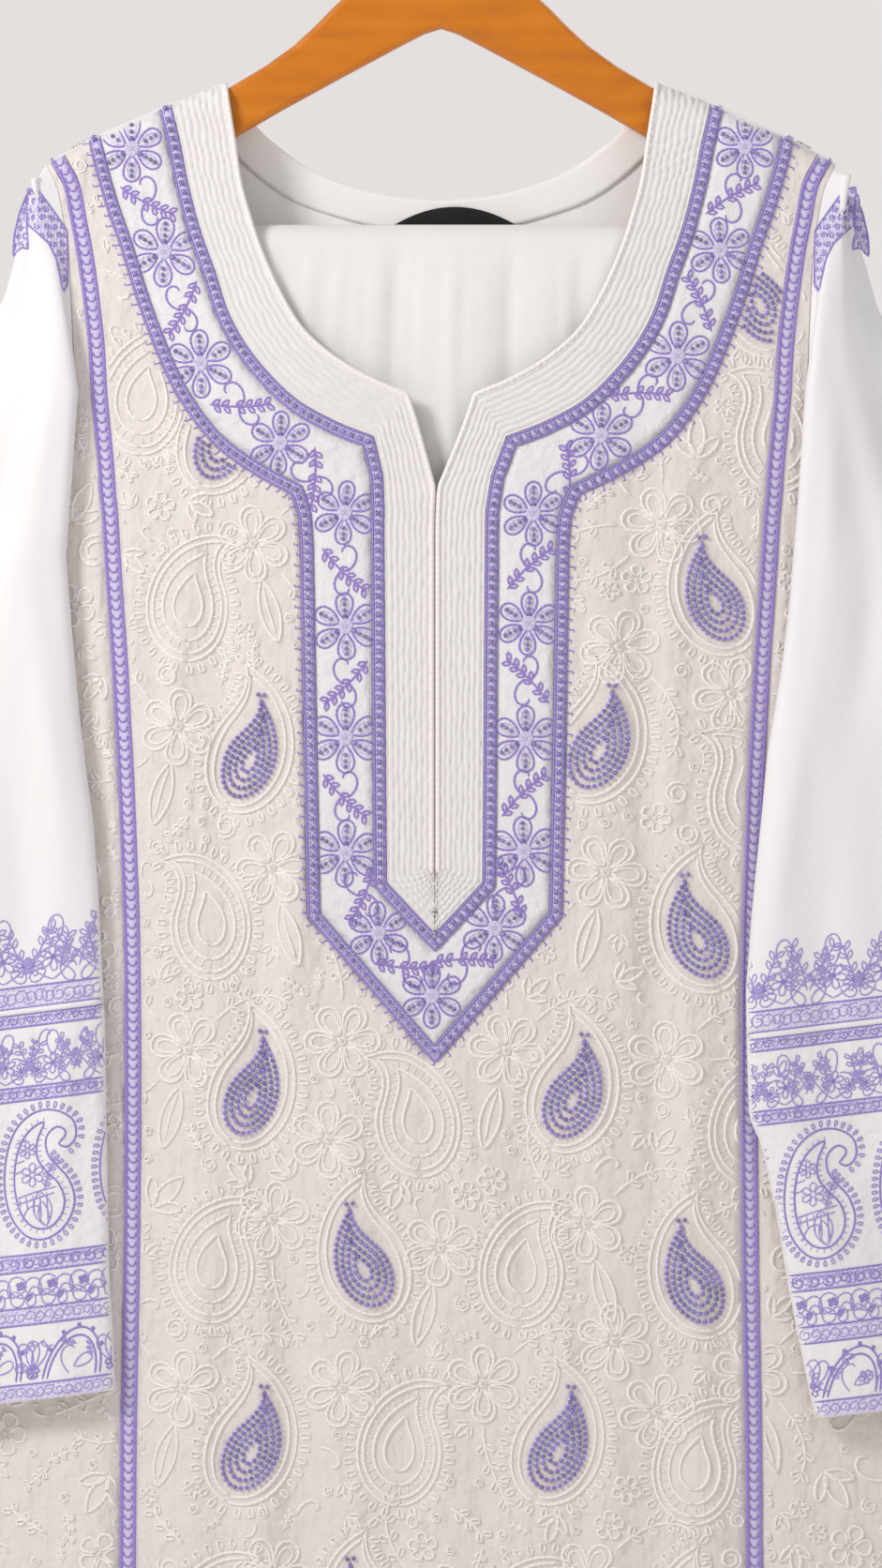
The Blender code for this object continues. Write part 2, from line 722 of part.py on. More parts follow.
def build_pants(materials, collection):
    columns = 12
    inner_radius = BAR_RADIUS + PANT_SEAT
    outer_radius = inner_radius + PANT_WALL + PANT_LAYER_GAP
    band_bottom = PANT_DROP_FRONT - WAISTBAND_DEPTH
    for side, radius in (("left", inner_radius), ("right", outer_radius)):
        leg = (pant_points(radius, columns), pant_points(radius + PANT_WALL, columns))
        wall("pant_leg_" + side, [leg], materials["pants"], collection)

    band_columns = 36
    inner_points = []
    outer_points = []
    for z in (PANT_DROP_FRONT - SEAM_GAP, (PANT_DROP_FRONT + band_bottom) / 2, band_bottom):
        inner_row = []
        outer_row = []
        for column in range(band_columns + 1):
            x = (2 * column / band_columns - 1) * WAISTBAND_HALF_WIDTH
            gather = WAISTBAND_GATHER * (column % 2)
            inner_row.append((x, -inner_radius, z))
            outer_row.append((x, -outer_radius - PANT_WALL - gather, z))
        inner_points.append(inner_row)
        outer_points.append(outer_row)
    wall("pant_waistband", [(inner_points, outer_points)], materials["pants"], collection)


# Hanger
def build_arms(materials, collection):
    half = list(ARM_TOP) + list(ARM_LOW)
    outline = half + [(-x, z) for x, z in half[-2:0:-1]]
    bm = bmesh.new()
    face = bm.faces.new([bm.verts.new((x * MM, -ARM_THICKNESS / 2 * MM, z * MM)) for x, z in outline])
    extruded = bmesh.ops.extrude_face_region(bm, geom=[face], use_keep_orig=True)
    for item in extruded["geom"]:
        if isinstance(item, bmesh.types.BMVert):
            item.co.y += ARM_THICKNESS * MM
    bmesh.ops.recalc_face_normals(bm, faces=bm.faces[:])
    mesh = bpy.data.meshes.new("hanger_arms")
    bm.to_mesh(mesh)
    bm.free()
    arms = finish_object("hanger_arms", mesh, materials["wood"], collection)
    edges = arms.modifiers.new("rounded_edges", "BEVEL")
    edges.width = ARM_BEVEL * MM
    edges.segments = 2
    edges.limit_method = "ANGLE"
    edges.angle_limit = math.radians(60)


def upright_cylinder(name, radius, low, high, material, collection):
    bm = bmesh.new()
    bmesh.ops.create_cone(bm, cap_ends=True, segments=24, radius1=radius * MM,
                          radius2=radius * MM, depth=(high - low) * MM)
    bmesh.ops.translate(bm, verts=bm.verts[:], vec=(0, 0, (low + high) / 2 * MM))
    mesh = bpy.data.meshes.new(name)
    bm.to_mesh(mesh)
    bm.free()
    return finish_object(name, mesh, material, collection)


def wire(name, points, radius, material, collection):
    curve = bpy.data.curves.new(name, "CURVE")
    curve.dimensions = "3D"
    curve.bevel_depth = radius * MM
    curve.bevel_resolution = 2
    curve.use_fill_caps = True
    spline = curve.splines.new("POLY")
    spline.points.add(len(points) - 1)
    for place, (x, y, z) in zip(spline.points, points):
        place.co = (x * MM, y * MM, z * MM, 1.0)
    curve.materials.append(material)
    made = bpy.data.objects.new(name, curve)
    collection.objects.link(made)
    return made


def build_hanger(materials, collection):
    build_arms(materials, collection)
    bar = upright_cylinder("hanger_bar", BAR_RADIUS, -BAR_HALF_LENGTH, BAR_HALF_LENGTH,
                           materials["wood"], collection)
    bar.rotation_euler = (0, math.pi / 2, 0)
    bar.location = (0, 0, BAR_HEIGHT * MM)

    collar_low = ARM_TOP[0][1] + SEAM_GAP
    collar_high = collar_low + COLLAR_HEIGHT
    upright_cylinder("hook_collar", COLLAR_RADIUS, collar_low, collar_high,
                     materials["steel"], collection)

    centre_z = HOOK_WIRE - HOOK_RADIUS
    path = [(0.0, 0.0, collar_high + SEAM_GAP), (0.0, 0.0, -60.0), (1.2, 0.0, -54.0)]
    path += [(5.0, 0.0, -48.0), (11.0, 0.0, -41.5)]
    for degrees in range(-36, 216, 12):
        turn = math.radians(degrees)
        path.append((HOOK_RADIUS * math.cos(turn), 0.0, centre_z + HOOK_RADIUS * math.sin(turn)))
    wire("hanger_hook", path, HOOK_WIRE, materials["steel"], collection)


def build():
    clear_scene()
    collection = make_collection(SET_COLLECTION)
    materials = {
        "cloth": make_material("warm_white_cloth", (0.86, 0.82, 0.78), 0.75),
        "sleeve": make_material("cool_white_satin", (0.88, 0.88, 0.90), 0.5),
        "trim": make_material("lavender_trim", (0.42, 0.34, 0.72), 0.6),
        "pants": make_material("white_pant_cloth", (0.87, 0.85, 0.84), 0.7),
        "label": make_material("black_label", (0.02, 0.02, 0.02), 0.6),
        "wood": make_material("honey_wood", (0.72, 0.35, 0.12), 0.4),
        "steel": make_material("bright_steel", (0.75, 0.75, 0.76), 0.2, 1.0),
    }
    build_front(materials, collection)
    build_back(materials, collection)
    build_sleeves(materials, collection)
    build_pants(materials, collection)
    build_hanger(materials, collection)


build()
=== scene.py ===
"""Looks of the kurta and pants set on its wooden hanger.

The tables are in millimetres in the part's frame: +X the viewer's right, -Y the front, +Z up.
"""
import math

import bpy
import numpy as np
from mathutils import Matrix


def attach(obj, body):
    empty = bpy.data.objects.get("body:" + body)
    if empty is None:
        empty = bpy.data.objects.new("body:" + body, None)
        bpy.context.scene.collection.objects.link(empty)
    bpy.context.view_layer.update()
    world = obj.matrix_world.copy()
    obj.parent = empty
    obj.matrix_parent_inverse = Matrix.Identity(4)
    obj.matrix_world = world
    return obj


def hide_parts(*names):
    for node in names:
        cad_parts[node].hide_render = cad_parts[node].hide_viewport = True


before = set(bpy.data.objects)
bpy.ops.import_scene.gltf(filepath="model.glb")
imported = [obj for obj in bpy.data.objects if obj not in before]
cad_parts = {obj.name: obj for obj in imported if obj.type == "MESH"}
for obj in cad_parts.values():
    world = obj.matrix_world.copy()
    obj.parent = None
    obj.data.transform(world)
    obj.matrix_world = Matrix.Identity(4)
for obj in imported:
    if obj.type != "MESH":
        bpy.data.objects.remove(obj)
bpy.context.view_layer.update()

MM = 0.001

# The photograph: width of a pixel, the column at the centre, height of the top row, its rows
PIXEL = 0.45
CENTRE_COLUMN = 470.0
TOP_ROW_HEIGHT = -105.0
PHOTO_ROWS = 1672

# Cloth, seams and trims
CLOTH_WALL = 1.2
SEAM_GAP = 0.3
TRIM_WIDTH = 5.4
STRIP_WIDTH = 7.2
RIB_COUNT = 8.5
RIB_HEIGHT = 1.25
ARM_ROUND = 8.0
FRONT_DEPTH = 22.0
BACK_DEPTH = 18.0
FRONT_FALL = 180.0
BACK_FALL = 60.0
SIDE_POWER = 3.0
SIDES_CLOSE_FROM = -230.0
HEM_HEIGHT = -1195.0
ARMPIT_HEIGHT = -386.0
PLACKET_LEAN = -3.0
CREASE_GAIN = 2.1

# Sleeves, pants and hanger
TUBE_DEPTH = 10.0
BODY_CLEARANCE = 2.0
FOLD_REACH = 4.0
SLEEVE_SEAM = 0.1
SLEEVE_MIDDLE = 216.0
SLEEVE_WAVE = 1.6
BORDER_START = -593.0
BAR_HEIGHT = -222.6
BAR_RADIUS = 6.0
PANT_WALL = 1.9
PANT_SEAT = 0.9
PANT_LAYER_GAP = 0.4
PANT_DROP_FRONT = -640.0
PANT_DROP_BACK = -625.0
WAISTBAND_DEPTH = 38.0
WAISTBAND_HALF_WIDTH = 148.0
WAISTBAND_COLUMNS = 150

# Half width and height of the shoulder seam
SHOULDER_LINE = (
    (0.0, -108.0), (60.0, -128.0), (103.5, -144.6), (132.8, -155.8), (167.0, -170.8),
    (187.0, -181.6), (330.0, -262.0),
)

# Front guide lines, a row for each station from the shoulder to the bottom of the V:
# neckline, yoke edge, border edge, seam strip and armhole or side edge, each as x, z
FRONT_GUIDES = (
    (103.5, -144.6, 132.8, -155.8, 167.0, -170.8, 185.0, -180.6, 190.5, -183.5),
    (99.5, -170.3, 128.7, -172.5, 163.4, -185.1, 178.0, -192.4, 184.8, -194.0),
    (96.3, -191.4, 124.7, -192.8, 158.9, -200.9, 174.5, -209.5, 181.5, -210.0),
    (92.3, -206.3, 118.8, -215.3, 151.5, -222.0, 171.0, -227.5, 179.0, -228.0),
    (86.9, -222.9, 111.6, -235.5, 144.9, -243.2, 168.0, -249.0, 177.8, -250.0),
    (77.9, -243.6, 104.0, -258.0, 137.0, -265.0, 165.6, -270.2, 176.8, -271.0),
    (66.6, -262.5, 91.0, -279.0, 125.0, -292.0, 164.3, -292.7, 176.5, -293.0),
    (51.8, -276.0, 72.0, -298.5, 108.0, -315.0, 162.5, -312.0, 178.0, -312.0),
    (34.7, -286.4, 52.0, -310.0, 88.0, -329.5, 161.0, -328.0, 181.0, -328.0),
    (15.8, -294.5, 34.2, -317.0, 66.6, -340.4, 160.2, -341.0, 185.0, -341.0),
    (8.0, -318.0, 29.0, -334.0, 62.5, -352.0, 159.0, -353.0, 191.0, -353.0),
    (0.0, -341.3, 27.4, -350.0, 61.4, -366.0, 158.2, -367.0, 200.0, -367.0),
    (0.0, -362.0, 27.3, -371.0, 61.1, -386.0, 157.0, -386.0, 215.0, -386.0),
    (0.0, -400.0, 27.0, -408.0, 60.5, -421.0, 154.5, -421.0, 213.5, -421.0),
    (0.0, -460.0, 26.6, -468.0, 59.3, -482.0, 151.2, -482.0, 209.5, -482.0),
    (0.0, -520.0, 26.1, -529.4, 58.1, -543.8, 148.8, -544.0, 208.0, -544.0),
    (0.0, -522.0, 13.0, -543.5, 29.0, -577.5, 148.2, -578.0, 209.5, -578.0),
    (0.0, -524.0, 0.0, -557.3, 0.0, -610.8, 148.1, -612.0, 212.0, -612.0),
)
NECK, YOKE, BORDER, STRIP, EDGE = 0, 2, 4, 6, 8
CURVED_STATIONS = 9
ARMPIT_STATION = 12

# Below the V: height, strip half width, side half width
LOWER_STATIONS = (
    (-660.0, 148.1, 218.0), (-720.0, 148.7, 229.0), (-790.0, 150.1, 241.5),
    (-860.0, 150.5, 251.5), (-935.0, 151.8, 262.0), (-1010.0, 153.1, 272.5),
    (-1080.0, 154.7, 282.0), (-1140.0, 156.2, 290.5), (HEM_HEIGHT, 157.5, 298.0),
)
SIDE_WIDTHS = (
    (-1195.0, 298.0), (-1010.0, 272.5), (-790.0, 241.5), (-660.0, 218.0), (-612.0, 212.0),
    (-544.0, 208.0), (-482.0, 209.5), (-421.0, 213.5), (-386.0, 215.0), (-100.0, 215.0),
)

# Soft folds in the hanging cloth: x, width, height at the hem, height where it starts
FRONT_FOLDS = (
    (-122.0, 24.0, 8.0, -480.0), (-80.0, 20.0, 7.0, -560.0), (-40.0, 20.0, 8.5, -640.0),
    (2.0, 22.0, 7.0, -620.0), (44.0, 20.0, 8.5, -640.0), (84.0, 18.0, 7.5, -500.0),
    (126.0, 22.0, 9.0, -420.0),
)
BACK_FOLDS = (
    (-150.0, 26.0, 7.5, -480.0), (-84.0, 24.0, 7.0, -560.0), (-28.0, 24.0, 8.0, -420.0),
    (30.0, 22.0, 6.5, -600.0), (88.0, 24.0, 8.0, -520.0), (152.0, 26.0, 7.0, -460.0),
)

# Creases placed one by one: x, z, half length, half width, height, lean in degrees from upright
FRONT_CREASES = (
    (-104.0, -505.0, 60.0, 9.0, -1.3, 4.0), (-128.0, -430.0, 45.0, 7.0, 1.0, -6.0),
    (-84.0, -620.0, 80.0, 10.0, -1.6, 2.0), (-112.0, -720.0, 70.0, 9.0, 1.3, -3.0),
    (-40.0, -690.0, 60.0, 8.0, 1.1, 5.0), (-10.0, -760.0, 70.0, 9.0, -1.2, -3.0),
    (40.0, -690.0, 80.0, 8.0, -1.1, -4.0), (106.0, -590.0, 90.0, 8.0, -1.6, -2.0),
    (112.0, -430.0, 100.0, 6.0, 1.1, -1.0), (81.0, -420.0, 100.0, 8.0, 1.1, 1.0),
    (100.0, -440.0, 110.0, 7.0, -1.5, 1.0), (-72.0, -770.0, 100.0, 9.0, -1.5, 0.0),
    (-90.0, -880.0, 90.0, 10.0, 1.4, 1.0), (-104.0, -420.0, 60.0, 7.0, -1.0, 3.0),
    (122.0, -650.0, 70.0, 9.0, 1.4, -3.0), (76.0, -640.0, 60.0, 7.0, 1.0, 2.0),
    (-70.0, -560.0, 50.0, 7.0, 0.9, -5.0), (136.0, -760.0, 60.0, 8.0, -1.2, 3.0),
    (60.0, -780.0, 60.0, 8.0, 1.2, 2.0), (-136.0, -640.0, 60.0, 7.0, -1.0, 2.0),
    (-120.0, -330.0, 30.0, 6.0, 0.7, 24.0), (118.0, -338.0, 30.0, 6.0, 0.7, -24.0),
)
BACK_CREASES = (
    (-96.0, -300.0, 70.0, 11.0, 1.4, 9.0), (88.0, -320.0, 60.0, 10.0, 1.3, -8.0),
    (-30.0, -420.0, 90.0, 12.0, -1.5, 3.0), (52.0, -520.0, 80.0, 10.0, 1.5, -3.0),
    (-120.0, -560.0, 90.0, 11.0, -1.6, 4.0), (132.0, -620.0, 80.0, 12.0, 1.6, -5.0),
    (-60.0, -800.0, 110.0, 12.0, 1.7, 2.0), (70.0, -900.0, 110.0, 12.0, -1.8, -2.0),
    (0.0, -260.0, 50.0, 12.0, -1.0, 0.0), (-150.0, -960.0, 90.0, 12.0, 1.6, 3.0),
)

# Back neckline: half width, height
BACK_NECK = (
    (0.0, -198.6), (30.0, -195.2), (60.0, -185.0), (84.0, -168.5), (97.0, -153.5),
    (103.5, -144.6),
)
FACING_LOW = ((0.0, -213.9), (30.0, -211.5), (57.0, -204.5), (76.0, -196.4), (95.0, -182.0),
              (103.0, -172.0))
LABEL_CENTRE = 6.8
LABEL_HALF_WIDTH = 31.5
LABEL_TOP = -201.8
LABEL_BOTTOM = -240.0
LABEL_SAG = 10.0
FACING_LIFT = -1.0
LABEL_LIFT = -2.6
LINING_WALL = 0.6

# Sleeves by side: height with the half width of the inner fold, then of the outer fold
SLEEVES = {
    "left": {
        "sign": -1, "tilt": -0.126, "cuff": -779.0,
        "inner": (
            (-771.5, 154.4), (-708.0, 157.5), (-667.5, 158.4), (-593.3, 159.8),
            (-532.5, 162.9), (-498.8, 165.6), (-447.0, 172.4), (-420.0, 175.0),
            (-371.4, 179.1), (-339.0, 176.5), (-293.0, 173.3), (-181.6, 187.0),
        ),
        "outer": (
            (-790.0, 284.0), (-645.0, 288.0), (-555.0, 289.0), (-474.0, 286.0),
            (-420.0, 280.0), (-371.0, 269.0), (-330.0, 254.0), (-285.0, 234.0),
            (-243.0, 211.5), (-220.0, 204.8), (-202.0, 200.7), (-191.4, 196.7),
            (-181.6, 188.0),
        ),
    },
    "right": {
        "sign": 1, "tilt": 0.12, "cuff": -781.0,
        "inner": (
            (-787.7, 178.2), (-748.5, 170.1), (-721.5, 164.7), (-687.8, 159.3),
            (-655.0, 152.0), (-640.5, 145.8), (-579.8, 144.5), (-546.0, 147.2),
            (-465.0, 155.3), (-426.8, 162.0), (-393.0, 166.0), (-352.5, 169.7),
            (-293.0, 174.0), (-181.6, 187.0),
        ),
        "outer": (
            (-790.0, 307.0), (-721.5, 294.8), (-640.5, 280.0), (-555.0, 273.6),
            (-465.0, 272.7), (-393.0, 266.4), (-352.5, 256.5), (-292.7, 234.0),
            (-250.8, 212.0), (-229.0, 205.7), (-213.0, 200.3), (-199.5, 194.9),
            (-181.6, 188.0),
        ),
    },
}

# Colours, as linear values
# The front's cloth is a darker white than the same cloth at the back: its own warm white with painted
# shade of the embroidery's puckers
WARM_WHITE = (0.825, 0.757, 0.71)
YOKE_WHITE = (0.855, 0.815, 0.79)
CORD_WHITE = (0.95, 0.90, 0.86)
# Painted light: the back and its facing are the same cloth as the front, in a brighter white that
# lifts the shade they hang in
BACK_WHITE_PAINTED_LIGHT = (0.95, 0.93, 0.91)
COOL_WHITE = (0.88, 0.855, 0.85)
BORDER_WHITE = (0.86, 0.82, 0.83)
PANT_WHITE = (0.88, 0.85, 0.82)
LAVENDER = (0.37, 0.27, 0.68)
SLEEVE_LAVENDER = (0.45, 0.365, 0.74)
PALE_LAVENDER = (0.74, 0.68, 0.90)
STRIP_LAVENDER = (0.70, 0.64, 0.84)
BEAD_VIOLET = (0.34, 0.245, 0.70)
BLACK = (0.012, 0.011, 0.012)
HONEY = (0.60, 0.18, 0.010)
PALE_HONEY = (0.69, 0.235, 0.018)
DARK_HONEY = (0.45, 0.135, 0.018)
STEEL = (0.72, 0.72, 0.74)
WALL_GREY = (0.80, 0.77, 0.755)


# Numbers
def smooth(value):
    value = np.clip(value, 0.0, 1.0)
    return value * value * (3 - 2 * value)


def lookup(table, value, column=1):
    rows = np.array(sorted(map(tuple, table)), float)
    return np.interp(value, rows[:, 0], rows[:, column])


def mix(first, second, share):
    return first + (second - first) * share


def unit(vectors):
    return vectors / np.linalg.norm(vectors, axis=1)[:, None]


def path_lengths(line):
    """How far along the line each of its points is."""
    steps = np.linalg.norm(np.diff(line, axis=0), axis=1)
    return np.concatenate([[0.0], np.cumsum(steps)])


def points_at(place, lengths, line):
    """Points of the line at places along it."""
    axes = range(line.shape[1])
    return np.stack([np.interp(place, lengths, line[:, axis]) for axis in axes], axis=1)


# The front and back surfaces, as the solids have them
def shoulder_drop(x, z):
    return np.maximum(0.0, lookup(SHOULDER_LINE, np.abs(x)) - z)


def arm_angle(drop):
    return np.arccos(1 - np.clip(drop / ARM_ROUND, 0.0, 1.0))


def fold_depth(folds, x, z):
    total = np.zeros(np.broadcast(x, z).shape)
    for centre, width, height, start in folds:
        growth = smooth((start - z) / (start - HEM_HEIGHT))
        total = total + height * growth * np.exp(-2 * ((x - centre) / width) ** 2)
    return total


def crease_depth(creases, x, z):
    total = np.zeros(np.broadcast(x, z).shape)
    for centre_x, centre_z, half_length, half_width, height, lean in creases:
        turn = math.radians(lean)
        across = (x - centre_x) * math.cos(turn) + (z - centre_z) * math.sin(turn)
        along = (z - centre_z) * math.cos(turn) - (x - centre_x) * math.sin(turn)
        total = total + height * np.exp(-(across / half_width) ** 2 - (along / half_length) ** 2)
    return total


def cloth_depth(x, z, full_depth, fall, folds, creases):
    drop = shoulder_drop(x, z)
    hang = (full_depth - ARM_ROUND) * smooth(drop / fall)
    depth = ARM_ROUND * np.sin(arm_angle(drop)) + hang + fold_depth(folds, x, z)
    closing = smooth((SIDES_CLOSE_FROM - z) / (SIDES_CLOSE_FROM - ARMPIT_HEIGHT))
    reach = np.minimum(1.0, np.abs(x) / lookup(SIDE_WIDTHS, z))
    taper = 1 - closing * reach ** SIDE_POWER
    return (depth + CREASE_GAIN * crease_depth(creases, x, z)) * taper


def front_depth(x, z):
    return cloth_depth(x, z, FRONT_DEPTH, FRONT_FALL, FRONT_FOLDS, FRONT_CREASES)


def back_depth(x, z):
    return cloth_depth(x, z, BACK_DEPTH, BACK_FALL, BACK_FOLDS, BACK_CREASES)


def placket_lean(x, z):
    down = smooth((-300.0 - z) / 60.0) * smooth((z + 700.0) / 80.0)
    return PLACKET_LEAN * down * (1 - smooth((np.abs(x) - 70.0) / 60.0))


def front_point(x, z, lift):
    """Points on the front, lift outside the wall's inner face; an array with x, y, z last."""
    angle = arm_angle(shoulder_drop(x, z))
    depth = SEAM_GAP / 2 + front_depth(x, z)
    y = -depth - lift * np.sin(angle)
    return np.stack([x + placket_lean(x, z), y, z + lift * np.cos(angle)], axis=-1)


def back_point(x, z, lift):
    angle = arm_angle(shoulder_drop(x, z))
    depth = SEAM_GAP / 2 + back_depth(x, z)
    y = depth + lift * np.sin(angle)
    return np.stack([x + 0 * z, y, z + lift * np.cos(angle)], axis=-1)


# Guide lines, as arrays of x, z, with how many steps from each station to the next
STATION_STEPS = (14, 12, 8, 9, 10, 10, 10, 10, 9, 9, 8, 9, 11, 18, 18, 14, 14)


def spline_point(points, index, share):
    """A Catmull-Rom point between rows index and index + 1."""
    last = len(points) - 1
    p0, p1 = points[max(0, index - 1)], points[index]
    p2, p3 = points[min(last, index + 1)], points[min(last, index + 2)]
    return 0.5 * (
        2 * p1 + (p2 - p0) * share + (2 * p0 - 5 * p1 + 4 * p2 - p3) * share ** 2
        + (3 * p1 - p0 - 3 * p2 + p3) * share ** 3
    )


def guide(column):
    rows = np.array([row[column:column + 2] for row in FRONT_GUIDES])
    curved = rows[:CURVED_STATIONS + 1]
    line = []
    for index, steps in enumerate(STATION_STEPS):
        for step in range(steps):
            share = step / steps
            if index == 0:
                share = share ** 1.6
            if index < CURVED_STATIONS:
                line.append(spline_point(curved, index, share))
            else:
                line.append(mix(rows[index], rows[index + 1], share))
    line.append(rows[-1])
    return np.array(line)


def shifted(line, distance, on_centre=False):
    """The line moved outward in the plane of the front, mitred at its points."""
    along = unit(np.diff(line, axis=0))
    sides = np.stack([-along[:, 1], along[:, 0]], axis=1)
    before = np.vstack([sides[:1], sides])
    after = np.vstack([sides, sides[-1:]])
    if on_centre:
        after[-1] = (-before[-1][0], before[-1][1])
    normal = unit(before + after)
    stretch = distance / np.maximum(0.5, (normal * before).sum(axis=1))
    moved = line + normal * stretch[:, None]
    moved[0, 1] = lookup(SHOULDER_LINE, moved[0, 0])
    return moved


def between(inner, outer, columns):
    share = np.linspace(0.0, 1.0, columns + 1)[None, :, None]
    return inner[:, None, :] + (outer - inner)[:, None, :] * share


def flipped(rows):
    return rows * np.array([-1.0, 1.0])


def both_halves(rows):
    """Rows of the right half, then the left half's rows back up from the shared last row."""
    return np.concatenate([rows, flipped(rows[:-1][::-1])])


def smooth_table(table, steps=8):
    """The table's rows with points between them on a smooth curve."""
    rows = np.array(table)
    line = [spline_point(rows, index, step / steps)
            for index in range(len(rows) - 1) for step in range(steps)]
    return [*line, rows[-1]]


# Meshes
WELD_REACH = 0.02


def make_object(name, points, faces, material, uv=None, node=None):
    """A piece from points in millimetres and an array of faces, riding on the body."""
    mesh = bpy.data.meshes.new(name)
    flat_faces = np.ascontiguousarray(faces, dtype=np.int32)
    mesh.vertices.add(len(points))
    mesh.vertices.foreach_set("co", (np.asarray(points, float) * MM).ravel())
    mesh.loops.add(flat_faces.size)
    mesh.loops.foreach_set("vertex_index", flat_faces.ravel())
    mesh.polygons.add(len(flat_faces))
    starts = np.arange(0, flat_faces.size, flat_faces.shape[1], dtype=np.int32)
    mesh.polygons.foreach_set("loop_start", starts)
    mesh.update(calc_edges=True)
    if uv is not None:
        layer = mesh.uv_layers.new(name="UVMap")
        layer.data.foreach_set("uv", np.asarray(uv, float)[flat_faces.ravel()].ravel())
    mesh.polygons.foreach_set("use_smooth", np.ones(len(flat_faces), bool))
    mesh.validate()
    mesh.materials.append(material)
    piece = bpy.data.objects.new(name, mesh)
    bpy.context.scene.collection.objects.link(piece)
    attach(piece, "root")
    if node:
        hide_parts(node)
    return piece


def grid_faces(rows, columns, first=0, flip=False):
    index = np.arange(rows * columns).reshape(rows, columns) + first
    corners = [index[:-1, :-1], index[:-1, 1:], index[1:, 1:], index[1:, :-1]]
    if flip:
        corners.reverse()
    return np.stack(corners, axis=-1).reshape(-1, 4)


def grid_uv(points):
    """Texture coordinates in millimetres: across each row and down the middle column."""
    across = np.linalg.norm(np.diff(points, axis=1), axis=2)
    across = np.concatenate([np.zeros((len(points), 1)), np.cumsum(across, axis=1)], axis=1)
    down = path_lengths(points[:, points.shape[1] // 2])
    return np.stack([across, np.broadcast_to(down[:, None], across.shape)], axis=-1)


def cloth_piece(name, patches, material, node, thickness=CLOTH_WALL):
    """A shell over grids of points, each with whether it is turned, thickened inward."""
    points, faces, uv = [], [], []
    first = 0
    for grid, turned in patches:
        rows, columns = grid.shape[:2]
        points.append(grid.reshape(-1, 3))
        uv.append(grid_uv(grid).reshape(-1, 2))
        faces.append(grid_faces(rows, columns, first, turned))
        first += rows * columns
    piece = make_object(name, np.concatenate(points), np.concatenate(faces), material,
                        np.concatenate(uv), node)
    if len(patches) > 1:
        weld = piece.modifiers.new("seam", "WELD")
        weld.merge_threshold = WELD_REACH * MM
    shell = piece.modifiers.new("cloth", "SOLIDIFY")
    shell.thickness = thickness * MM
    shell.offset = -1.0
    return piece


def surface_area(grid):
    a = grid[1:, :-1] - grid[:-1, :-1]
    b = grid[:-1, 1:] - grid[:-1, :-1]
    return float(np.linalg.norm(np.cross(a, b), axis=-1).sum()) * MM * MM


# The flat cloth as a share of the surface measured here, an estimate of how it eases over its
# folds, and the least share of its cut's width times length
FLAT_SHARE = 0.97
LEAST_SHARE = 0.3


def declare_sheet(piece, grids, width, length, held="hung", rests_on=()):
    """The cut as a width and length in millimetres; its area, the cloth's laid flat, is worked out
    here and not passed on.
    """
    area = FLAT_SHARE * sum(surface_area(grid) for grid in grids)
    flat = (width * MM, length * MM)
    area = min(flat[0] * flat[1], max(LEAST_SHARE * flat[0] * flat[1], area))


# Materials: pitches of the weaves in millimetres and how much the stage shines of itself
WEAVE_PITCH = 0.42
TWILL_PITCH = 0.5
STAGE_GLOW = 0.385


def new_material(name, colour, roughness, *settings):
    """A material, its node tree and its shader; settings are names of inputs with values."""
    material = bpy.data.materials.new(name)
    material.use_nodes = True
    shader = material.node_tree.nodes["Principled BSDF"]
    for key, value in (("Base Color", (*colour, 1.0)), ("Roughness", roughness), *settings):
        shader.inputs[key].default_value = value
    return material, material.node_tree, shader


def add_node(tree, kind, **settings):
    node = tree.nodes.new(kind)
    for key, value in settings.items():
        if key in node.inputs:
            node.inputs[key].default_value = value
        else:
            setattr(node, key, value)
    return node


def coordinates(tree, scale=(1.0, 1.0, 1.0), source="Object"):
    place = add_node(tree, "ShaderNodeTexCoord")
    spread = add_node(tree, "ShaderNodeMapping")
    spread.inputs["Scale"].default_value = scale
    tree.links.new(place.outputs[source], spread.inputs["Vector"])
    return spread.outputs["Vector"]


def noise(tree, vector, scale, detail=3.0, roughness=0.5):
    node = add_node(tree, "ShaderNodeTexNoise", Scale=scale, Detail=detail, Roughness=roughness)
    tree.links.new(vector, node.inputs["Vector"])
    return node.outputs["Fac"]


def wave(tree, vector, direction, scale, distortion, detail, detail_scale=1.0):
    node = add_node(tree, "ShaderNodeTexWave", bands_direction=direction, Scale=scale,
                    Distortion=distortion, Detail=detail)
    node.inputs["Detail Scale"].default_value = detail_scale
    tree.links.new(vector, node.inputs["Vector"])
    return node.outputs["Fac"]


def math_node(tree, operation, first, second):
    node = add_node(tree, "ShaderNodeMath", operation=operation)
    for socket, value in zip(node.inputs, (first, second)):
        if isinstance(value, (int, float)):
            socket.default_value = value
        else:
            tree.links.new(value, socket)
    return node.outputs[0]


def weighted(tree, *parts):
    """The sum of textures, each times its weight."""
    products = [math_node(tree, "MULTIPLY", factor, weight) for factor, weight in parts]
    total = products[0]
    for product in products[1:]:
        total = math_node(tree, "ADD", total, product)
    return total


def colour_ramp(tree, factor, stops):
    node = add_node(tree, "ShaderNodeValToRGB")
    ramp = node.color_ramp
    while len(ramp.elements) < len(stops):
        ramp.elements.new(0.5)
    for element, (place, colour) in zip(ramp.elements, stops):
        element.position = place
        element.color = (*colour, 1.0)
    tree.links.new(factor, node.inputs["Fac"])
    return node.outputs["Color"]


